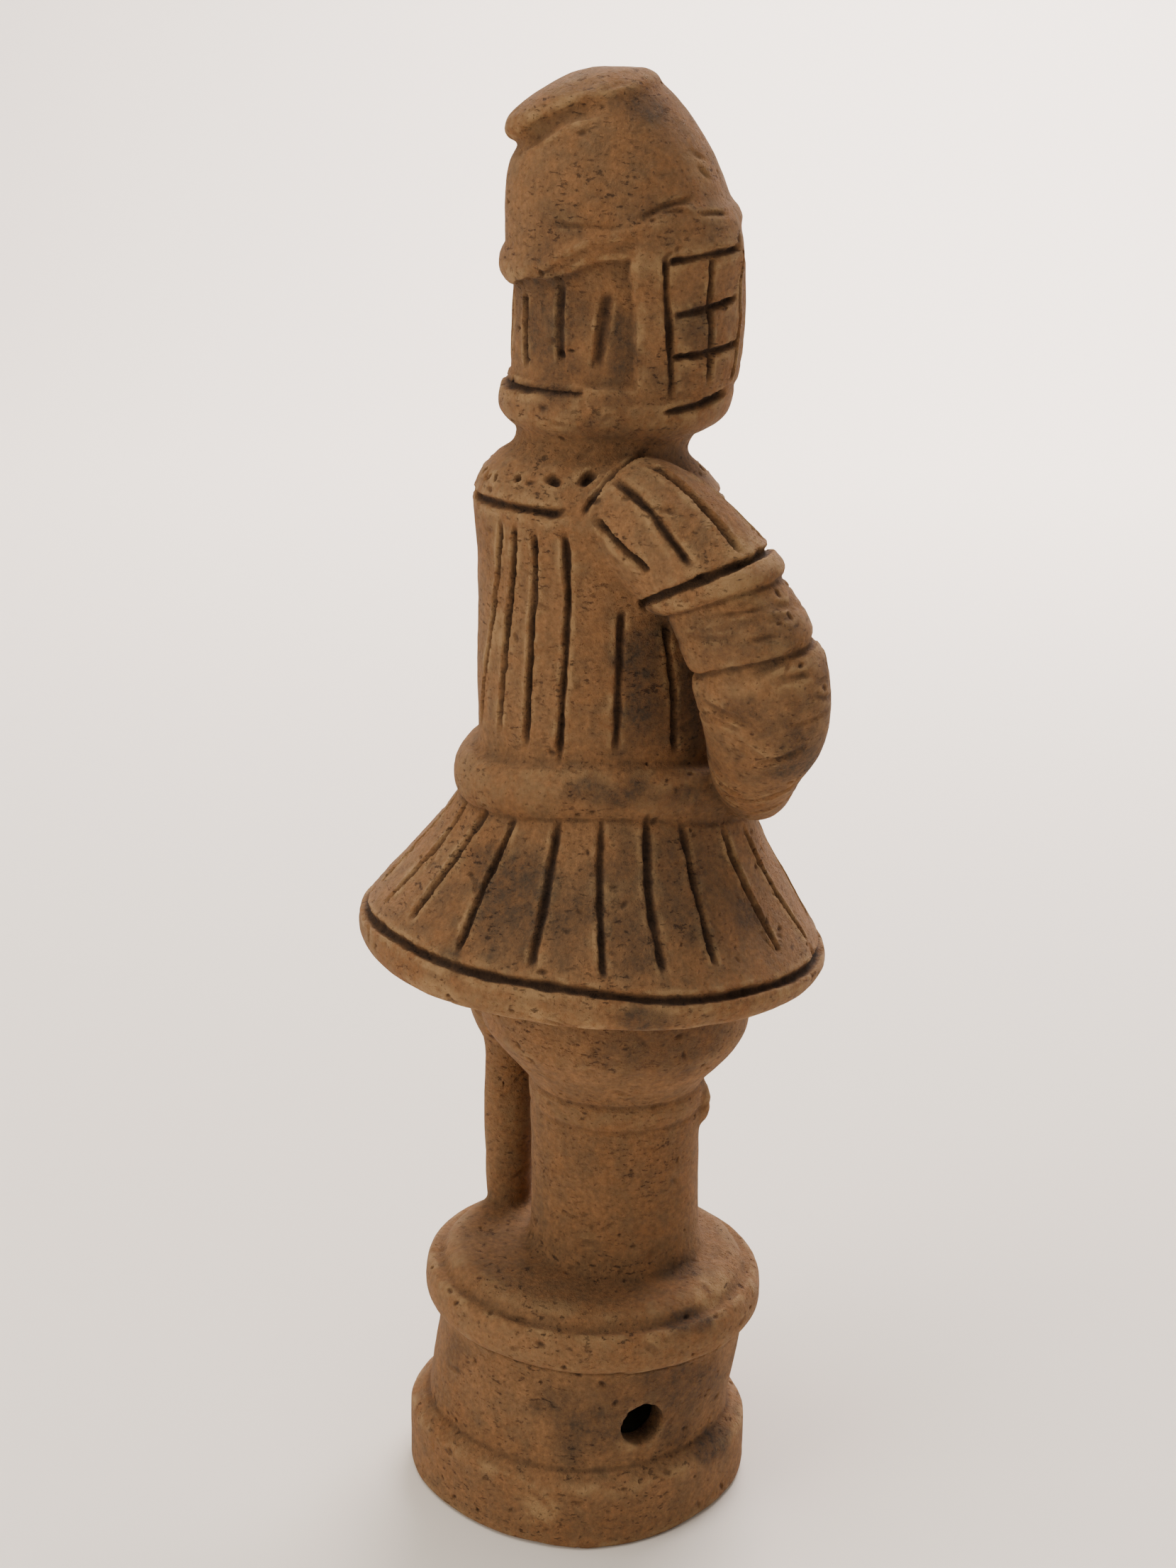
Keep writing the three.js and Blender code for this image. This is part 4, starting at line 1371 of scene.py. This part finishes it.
@dataclass
class Figure:
    """The whole work: its parts in the order they are luted together, and its finish."""

    voxel: float = 0.43
    quick_voxel: float = 0.8
    triangles: int = 188_000
    luting: int = 16
    quick_luting: int = 6
    softening: int = 2
    scratches: int = 240
    grit_holes: int = 700
    plinth: Plinth = field(default_factory=Plinth)
    legs: Legs = field(default_factory=Legs)
    waist: Waist = field(default_factory=Waist)
    torso: Torso = field(default_factory=Torso)
    head: Head = field(default_factory=Head)
    helmet: Helmet = field(default_factory=Helmet)
    right: Arm = field(default_factory=lambda: Arm(-1))
    left: Arm = field(default_factory=lambda: Arm(1))
    sword: Sword = field(default_factory=Sword)

    def build(self) -> bpy.types.Object:
        """Makes the one piece that stands for the solid.

        Returns:
            The finished object, at the origin and in metres.
        """
        parts = (self.legs, self.waist, self.torso, self.head, self.helmet, self.right, self.left, self.sword)
        surfaces = [surface for part in parts for surface in part.surfaces()]
        strokes = [stroke for part in (self.plinth, *parts) for stroke in part.strokes()]
        body = self.fused([self.vented_plinth(), *surfaces])
        clay = Clay.of(body.data)
        log.info("fused skin: %d points", len(clay.points))
        clay.lute(self.luting)
        clay.soften(self.softening)
        clay.dent()
        clay.points = clay.points - clay.normals() * self.head.panel(clay.points)[:, None]
        clay.press(strokes + clay.drags(self.scratches))
        clay.pit(self.grit_holes)
        clay.weather(STAINS)
        clay.points = clay.points + CENTRING
        clay.into(body.data)
        log.info("pressed %d marks", len(strokes))
        self.thinned(body)
        self.kept_inside(body.data)
        body.data.shade_smooth()
        log.info("%s: %d triangles", body.name, len(body.data.polygons))
        return body

    def vented_plinth(self) -> Surface:
        """The plinth with its two round vents cut through the wall.

        Returns:
            The closed surface.
        """
        plinth = mesh_object("plinth_blank", self.plinth.surface())
        reach, radius = 2 * self.plinth.foot_radius, self.plinth.vent_radius
        sine, cosine = math.sin(self.plinth.vent_turn), math.cos(self.plinth.vent_turn)
        bore = Rod((0, 0, self.plinth.vent_height), (cosine, sine, 0), (-sine, cosine, 0), (0, 0, 1))
        ends = np.array([(-reach, radius), (reach, radius)])
        drill = mesh_object("vent_drill", turned(ends, 40, bore.skin))
        cut = plinth.modifiers.new("vents", "BOOLEAN")
        cut.operation, cut.solver, cut.object = "DIFFERENCE", "EXACT", drill
        mesh = applied(plinth)
        mesh.calc_loop_triangles()
        corners = np.empty(len(mesh.loop_triangles) * 3, np.int32)
        mesh.loop_triangles.foreach_get("vertices", corners)
        for leftover in (plinth, drill):
            bpy.data.objects.remove(leftover)
        return Surface(points_of(mesh) / MM, corners.reshape(-1, 3))

    def fused(self, surfaces: Sequence[Surface]) -> bpy.types.Object:
        """One skin over all the surfaces.

        Args:
            surfaces: closed surfaces that overlap.

        Returns:
            The piece, with the fused mesh.
        """
        counts = np.cumsum([0] + [len(surface.points) for surface in surfaces])
        points = np.vstack([surface.points for surface in surfaces])
        faces = np.vstack([s.triangles + start for s, start in zip(surfaces, counts)])
        body = mesh_object("haniwa_terracotta", Surface(points, faces))
        skin = body.modifiers.new("skin", "REMESH")
        skin.mode = "VOXEL"
        skin.voxel_size = self.voxel * MM
        body.data = applied(body)
        body.modifiers.clear()
        return body

    def thinned(self, body: bpy.types.Object) -> None:
        """Fewer faces where the surface is plain, so that the piece stays light.

        Args:
            body: the piece.
        """
        thin = body.modifiers.new("thin", "DECIMATE")
        thin.ratio = min(1.0, self.triangles / (2 * len(body.data.polygons)))
        thin.use_collapse_triangulate = True
        body.data = applied(body)
        body.modifiers.clear()

    def kept_inside(self, mesh: bpy.types.Mesh) -> None:
        """Brings every point that stands out of the solid's box back to its side.

        Args:
            mesh: the piece's mesh, in metres.
        """
        inside = np.clip(points_of(mesh), *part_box(NODE))
        mesh.vertices.foreach_set("co", inside.astype(np.float32).ravel())
        mesh.update()


def mesh_object(name: str, surface: Surface) -> bpy.types.Object:
    """A new object at the origin that shows a surface, in metres.

    Args:
        name: the object's name.
        surface: what it shows.

    Returns:
        The object, linked to the scene.
    """
    mesh = bpy.data.meshes.new(name)
    count = len(surface.triangles)
    mesh.vertices.add(len(surface.points))
    mesh.vertices.foreach_set("co", (surface.points * MM).astype(np.float32).ravel())
    mesh.loops.add(3 * count)
    mesh.loops.foreach_set("vertex_index", surface.triangles.astype(np.int32).ravel())
    mesh.polygons.add(count)
    mesh.polygons.foreach_set("loop_start", np.arange(count, dtype=np.int32) * 3)
    mesh.update(calc_edges=True)
    body = bpy.data.objects.new(name, mesh)
    bpy.context.scene.collection.objects.link(body)
    return body


def points_of(mesh: bpy.types.Mesh) -> np.ndarray:
    """A mesh's points.

    Args:
        mesh: any mesh, in metres.

    Returns:
        (n, 3) places in metres.
    """
    points = np.empty(len(mesh.vertices) * 3)
    mesh.vertices.foreach_get("co", points)
    return points.reshape(-1, 3)


def applied(body: bpy.types.Object) -> bpy.types.Mesh:
    """The object's mesh with its modifiers applied.

    Args:
        body: an object with live modifiers.

    Returns:
        A new mesh.
    """
    graph = bpy.context.evaluated_depsgraph_get()
    graph.update()
    return bpy.data.meshes.new_from_object(body.evaluated_get(graph))


# Finishes


def linear(colour: str) -> tuple[float, float, float, float]:
    """An sRGB hex colour as linear light.

    Args:
        colour: six hex digits.

    Returns:
        Red, green, blue and alpha.
    """
    parts = [int(colour[k : k + 2], 16) / 255 for k in (0, 2, 4)]
    red, green, blue = (
        part / 12.92 if part <= 0.04045 else ((part + 0.055) / 1.055) ** 2.4 for part in parts
    )
    return red, green, blue, 1.0


def add_node(
    tree: bpy.types.NodeTree,
    kind: str,
    settings: dict[str, object] | None = None,
    inputs: dict[str | int, object] | None = None,
) -> bpy.types.Node:
    """Adds a node.

    Args:
        tree: the tree it goes into.
        kind: its type, without the words ShaderNode.
        settings: its properties.
        inputs: for each socket a value, or the output socket that feeds it.

    Returns:
        The node.
    """
    node = tree.nodes.new("ShaderNode" + kind)
    for name, value in (settings or {}).items():
        setattr(node, name, value)
    for name, value in (inputs or {}).items():
        if isinstance(value, bpy.types.NodeSocket):
            tree.links.new(value, node.inputs[name])
        else:
            node.inputs[name].default_value = value
    return node


@dataclass(frozen=True)
class Terracotta:
    """Low-fired iron-rich earthenware, unglazed: a dry matt brown that drinks the light, with
    uneven firing colour, dragged grit, soot in the marks and paler clay where it is rubbed. Shade is painted
    into the colour in corners and creases, and with the soot where the figure lies in a recess or is turned
    from the light."""

    body: str = "866240"
    warm: str = "7F5937"
    dull: str = "695239"
    # The colour of the stylus marks, also painted as shade in corners and creases
    mark_and_shade: str = "2B1E15"
    soot_and_shade: str = "332F27"
    # Soot and grime, both also painted as shade where the soot patches lie
    grime_and_shade: str = "3E2C1E"
    pale: str = "A28158"
    grit: str = "241811"
    roughness: float = 0.88

    def material(self) -> bpy.types.Material:
        """The clay as a material on object coordinates and the piece's own attributes.

        Returns:
            The material.
        """
        material = bpy.data.materials.new("terracotta_unglazed")
        material.use_nodes = True
        tree = material.node_tree
        tree.nodes.clear()
        place = add_node(tree, "TexCoord").outputs["Object"]

        # Noises: size of a bump in millimetres, detail, roughness and how far squeezed upright
        noises = {
            "firing": (35, 3, 0.5, 1),
            "mottle": (5, 7, 0.7, 1),
            "grain": (1.0, 4, 0.6, 1),
            "wear": (5, 5, 0.65, 1),
            "chalk": (3.2, 5, 0.7, 1),
            "dust": (2.4, 8, 0.8, 1),
            "wipe": (2.4, 4, 0.6, 1),
            "drag": (1.7, 4, 0.6, 2.4),
            "cluster": (12, 3, 0.6, 1),
            "speck": (0.8, 2, 0.5, 1),
            "tooth": (0.6, 5, 0.65, 1),
            "lump": (2.6, 6, 0.65, 1.6),
            "sheen": (2.0, 3, 0.5, 1),
        }
        value = {}
        for name, (size, detail, rough, squeeze) in noises.items():
            at = add_node(tree, "Mapping", {}, {"Vector": place, "Scale": (1, 1, squeeze)})
            inputs = {"Vector": at.outputs[0], "Scale": 1000 / size, "Detail": detail}
            value[name] = add_node(tree, "TexNoise", {}, inputs | {"Roughness": rough}).outputs["Fac"]
        for name in ("stroke", "pit", "crease", "soot_and_shade", "pale"):
            value[name] = add_node(tree, "Attribute", {"attribute_name": name}).outputs["Fac"]

        # Each is carried from one range to another and kept inside it
        matt = self.roughness
        ranges = {
            "warmth": ("firing", 0.35, 0.65, 0.0, 1.0),
            "dulled": ("mottle", 0.40, 0.66, 0.0, 0.75),
            # Painted shade: darker where the surface lies below its surroundings, in corners and creases
            "grained": ("grain", 0.28, 0.72, 0.72, 1.24),
            "corner": ("crease", 0.58, 1.0, 0.0, 0.36),
            "edge": ("crease", 0.44, 0.22, 0.0, 1.0),
            "worn": ("wear", 0.42, 0.60, 0.0, 0.62),
            "chalky": ("chalk", 0.38, 0.56, 0.0, 0.8),
            "dusty": ("dust", 0.42, 0.62, 0.0, 0.8),
            "line": ("stroke", 0.12, 0.85, 0.0, 1.0),
            "wiped": ("wipe", 0.2, 0.6, 0.50, 0.88),
            "dragged": ("drag", 0.595, 0.665, 0.0, 0.9),
            "clustered": ("cluster", 0.40, 0.60, 0.0, 1.0),
            "specked": ("speck", 0.655, 0.735, 0.0, 0.5),
            "pitted": ("pit", 0.15, 0.9, 0.0, 1.0),
            "sheened": ("sheen", 0.3, 0.7, matt - 0.06, matt + 0.06),
        }
        for name, (source, *limits) in ranges.items():
            inputs = {"Value": value[source], **dict(enumerate(limits, 1))}
            value[name] = add_node(tree, "MapRange", {"clamp": True}, inputs).outputs[0]

        # Each is worked out from two values; a hole is dragged grit, a speck or a pressed pit
        sums = (
            ("rubbed", "MULTIPLY", "edge", "worn"),
            ("chalked", "MULTIPLY", "pale", "chalky"),
            # The soot patches, partly painted shade, darken the colour evenly
            ("shaded_and_grimed", "MULTIPLY", "soot_and_shade", 0.5),
            ("sooted_and_shaded", "MULTIPLY", "soot_and_shade", "dusty"),
            ("stained", "MULTIPLY", "line", "wiped"),
            ("grit", "MULTIPLY", "dragged", "clustered"),
            ("loose", "MAXIMUM", "grit", "specked"),
            ("hole", "MAXIMUM", "loose", "pitted"),
            ("dark", "MULTIPLY", "hole", 0.70),
            ("fine", "MULTIPLY", "tooth", 0.85),
            ("coarse", "MULTIPLY", "lump", 1.25),
            ("rough", "ADD", "fine", "coarse"),
            ("sunk", "MULTIPLY", "hole", 0.9),
            ("height", "SUBTRACT", "rough", "sunk"),
        )
        for name, kind, *terms in sums:
            inputs = {k: value[term] if isinstance(term, str) else term for k, term in enumerate(terms)}
            value[name] = add_node(tree, "Math", {"operation": kind}, inputs).outputs[0]

        # Coats over the body colour: firing and mottling, grain, painted shade in corners, rubbed edges,
        # paler patches, grime and soot that also paint shade where the soot patches lie, what was wiped into
        # the stylus marks, and grit holes
        grey = add_node(tree, "CombineColor", {}, {k: value["grained"] for k in range(3)})
        coats = (
            ("MIX", value["warmth"], linear(self.warm)),
            ("MIX", value["dulled"], linear(self.dull)),
            ("MULTIPLY", 1.0, grey.outputs[0]),
            # Painted shade in corners and creases, in the colour of the stylus marks
            ("MIX", value["corner"], linear(self.mark_and_shade)),
            ("MIX", value["rubbed"], linear(self.pale)),
            ("MIX", value["chalked"], linear(self.pale)),
            # Painted shade, with soot and grime, where the soot patches lie
            ("MIX", value["shaded_and_grimed"], linear(self.grime_and_shade)),
            ("MIX", value["sooted_and_shaded"], linear(self.soot_and_shade)),
            ("MIX", value["stained"], linear(self.mark_and_shade)),
            ("MIX", value["dark"], linear(self.grit)),
        )
        colour = linear(self.body)
        for blend, share, coat in coats:
            settings = {"data_type": "RGBA", "blend_type": blend}
            colour = add_node(tree, "Mix", settings, {0: share, 6: colour, 7: coat}).outputs[2]

        relief = {"Strength": 0.9, "Distance": 0.0007, "Height": value["height"]}
        bump = add_node(tree, "Bump", {}, relief)
        shader = add_node(
            tree,
            "BsdfPrincipled",
            {},
            {
                "Base Color": colour,
                "Roughness": value["sheened"],
                "IOR": 1.45,
                "Specular IOR Level": 0.28,
                "Normal": bump.outputs[0],
            },
        )
        add_node(tree, "OutputMaterial", {}, {"Surface": shader.outputs[0]})
        return material


@dataclass(frozen=True)
class Paper:
    """Matt white card: a faint warm grey with no pattern."""

    colour: str = "ECE4D8"

    def material(self) -> bpy.types.Material:
        """The card as a material.

        Returns:
            The material.
        """
        material = bpy.data.materials.new("studio_card")
        material.use_nodes = True
        shader = material.node_tree.nodes["Principled BSDF"]
        shader.inputs["Base Color"].default_value = linear(self.colour)
        shader.inputs["Roughness"].default_value = 0.95
        shader.inputs["Specular IOR Level"].default_value = 0.1
        return material


# The studio


def facing(axes: Sequence[np.ndarray], place: Sequence[float]) -> Matrix:
    """The matrix of a camera or light.

    Args:
        axes: its own three axes.
        place: where it stands.

    Returns:
        The matrix.
    """
    rows = [[*(float(axis[row]) for axis in axes), float(place[row])] for row in range(3)]
    return Matrix([*rows, [0, 0, 0, 1]])


@dataclass
class Studio:
    """A sweep of pale card, soft light from above and the camera that the photo was taken with.

    The camera's place was worked out from the ovals of the plinth and the leaning uprights:
    a field of view of 2212 pixels at a focal length of 3576, 18 degrees above level, on the
    figure's right and a little behind it.
    """

    azimuth: float = 250.0
    elevation: float = 18.0
    roll: float = 1.0
    distance: float = 486.9
    aim: float = 147.7
    focal_pixels: float = 3576.0
    frame_height: float = 2212.0
    floor_near: float = 1.6
    floor_far: float = 1.1
    bend: float = 0.7
    wall_top: float = 3.0
    half_width: float = 3.0

    def camera(self) -> bpy.types.Object:
        """Places the camera and makes it the scene's.

        Returns:
            The camera.
        """
        a, e, r = (math.radians(v) for v in (self.azimuth, self.elevation, self.roll))
        back = np.array([math.sin(a) * math.cos(e), -math.cos(a) * math.cos(e), math.sin(e)])
        level = np.array([math.cos(a), math.sin(a), 0.0])
        upright = np.cross(back, level)
        right = math.cos(r) * level + math.sin(r) * upright
        up = -math.sin(r) * level + math.cos(r) * upright
        target = np.array([0, 0, self.aim]) - 0.04 * level + CENTRING
        place = (target + self.distance * back) * MM
        data = bpy.data.cameras.new("camera")
        data.sensor_fit, data.sensor_height = "VERTICAL", 36.0
        data.lens = 36.0 * self.focal_pixels / self.frame_height
        data.clip_start, data.clip_end = 0.01, 20.0
        camera = bpy.data.objects.new("camera", data)
        camera.matrix_world = facing((right, up, back), place)
        bpy.context.scene.collection.objects.link(camera)
        bpy.context.scene.camera = camera
        return camera

    def sweep(self) -> bpy.types.Object:
        """A floor that curves up into a wall behind, as one sheet.

        Its section is a level run, a quarter round and an upright run, carried sideways.

        Returns:
            The floor.
        """
        turn = np.linspace(0, math.pi / 2, 24)
        end = self.floor_far + self.bend
        run = np.concatenate([[-self.floor_near], self.floor_far + self.bend * np.sin(turn), [end]])
        rise = np.concatenate([[0.0], self.bend - self.bend * np.cos(turn), [self.wall_top]])
        a = math.radians(self.azimuth)
        away = -np.array([math.sin(a), -math.cos(a)])
        side = np.array([-away[1], away[0]])
        wide = np.array([-self.half_width, self.half_width])
        across, k = np.meshgrid(wide, np.arange(len(run)), indexing="ij")
        flat = away * run[k][..., None] + side * across[..., None]
        points = np.concatenate([flat, rise[k][..., None]], axis=-1).reshape(-1, 3) / MM
        count = len(run)
        j = np.arange(count - 1)
        quads = np.stack([j, j + 1, count + j + 1, count + j], axis=-1)
        faces = np.vstack([quads[:, [0, 2, 1]], quads[:, [0, 3, 2]]])
        floor = mesh_object("studio_sweep", Surface(points, faces))
        floor.data.shade_smooth()
        floor.data.materials.append(Paper().material())
        return floor

    def light(
        self,
        name: str,
        place: tuple[float, float, float],
        size: float,
        power: float,
        colour: str,
        aim: tuple[float, float, float] = (0.0, 0.0, 0.14),
    ) -> None:
        """A square soft light that looks at the figure's middle, or at another place.

        Args:
            name: the light's name.
            place: where it stands, in metres.
            size: length of its side.
            power: its power in watts.
            colour: its colour as sRGB hex.
            aim: what it looks at, in metres.
        """
        data = bpy.data.lights.new(name, "AREA")
        data.shape, data.size, data.energy = "SQUARE", size, power
        data.color = linear(colour)[:3]
        lamp = bpy.data.objects.new(name, data)
        back = np.array(place) - aim
        back = back / np.linalg.norm(back)
        side = np.cross([0.0, 0.0, 1.0], back)
        side = side / np.linalg.norm(side) if np.linalg.norm(side) > 1e-3 else np.array([1.0, 0, 0])
        up = np.cross(back, side)
        lamp.matrix_world = facing((side, up, back), place)
        bpy.context.scene.collection.objects.link(lamp)

    def build(self) -> None:
        """Camera, sweep, lights and a pale surround."""
        self.camera()
        self.sweep()
        a = math.radians(self.azimuth)
        towards = np.array([math.sin(a), -math.cos(a), 0])
        right = np.array([math.cos(a), math.sin(a), 0])
        up = np.array([0, 0, 1.0])

        def spot(near: float, to_right: float, height: float) -> tuple[float, float, float]:
            """A place given from the camera's side.

            Args:
                near: metres towards the camera.
                to_right: metres to its right.
                height: metres above the floor.

            Returns:
                The place in metres.
            """
            x, y, z = towards * near + right * to_right + up * height
            return float(x), float(y), float(z)

        self.light("overhead", spot(0.1, -0.3, 1.4), 1.0, 13.8, "FFF9F2")
        self.light("left_window", spot(0.75, -1.2, 0.55), 0.7, 9.8, "FFF7EE")
        self.light("right_fill", spot(1.1, 0.9, 0.30), 0.8, 1.8, "F8F6FF")
        self.light("wall_wash", spot(-1.1, 0.4, 1.3), 0.9, 74.0, "FFF6F8", spot(-1.6, 0.5, 0.0))
        world = bpy.data.worlds.new("surround")
        world.use_nodes = True
        surround = world.node_tree.nodes["Background"]
        surround.inputs[0].default_value = linear("F2EFEC")
        surround.inputs[1].default_value = 0.42
        bpy.context.scene.world = world


def main() -> None:
    """Builds the figure on its frame, then the studio, and reports each."""
    logging.basicConfig(level=logging.INFO, format="%(name)s: %(message)s")
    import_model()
    figure = Figure().build()
    figure.data.materials.clear()
    figure.data.materials.append(Terracotta().material())
    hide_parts(NODE)
    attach(figure, "root")
    Studio().build()
    log.info("done")


if __name__ == "__main__":
    main()
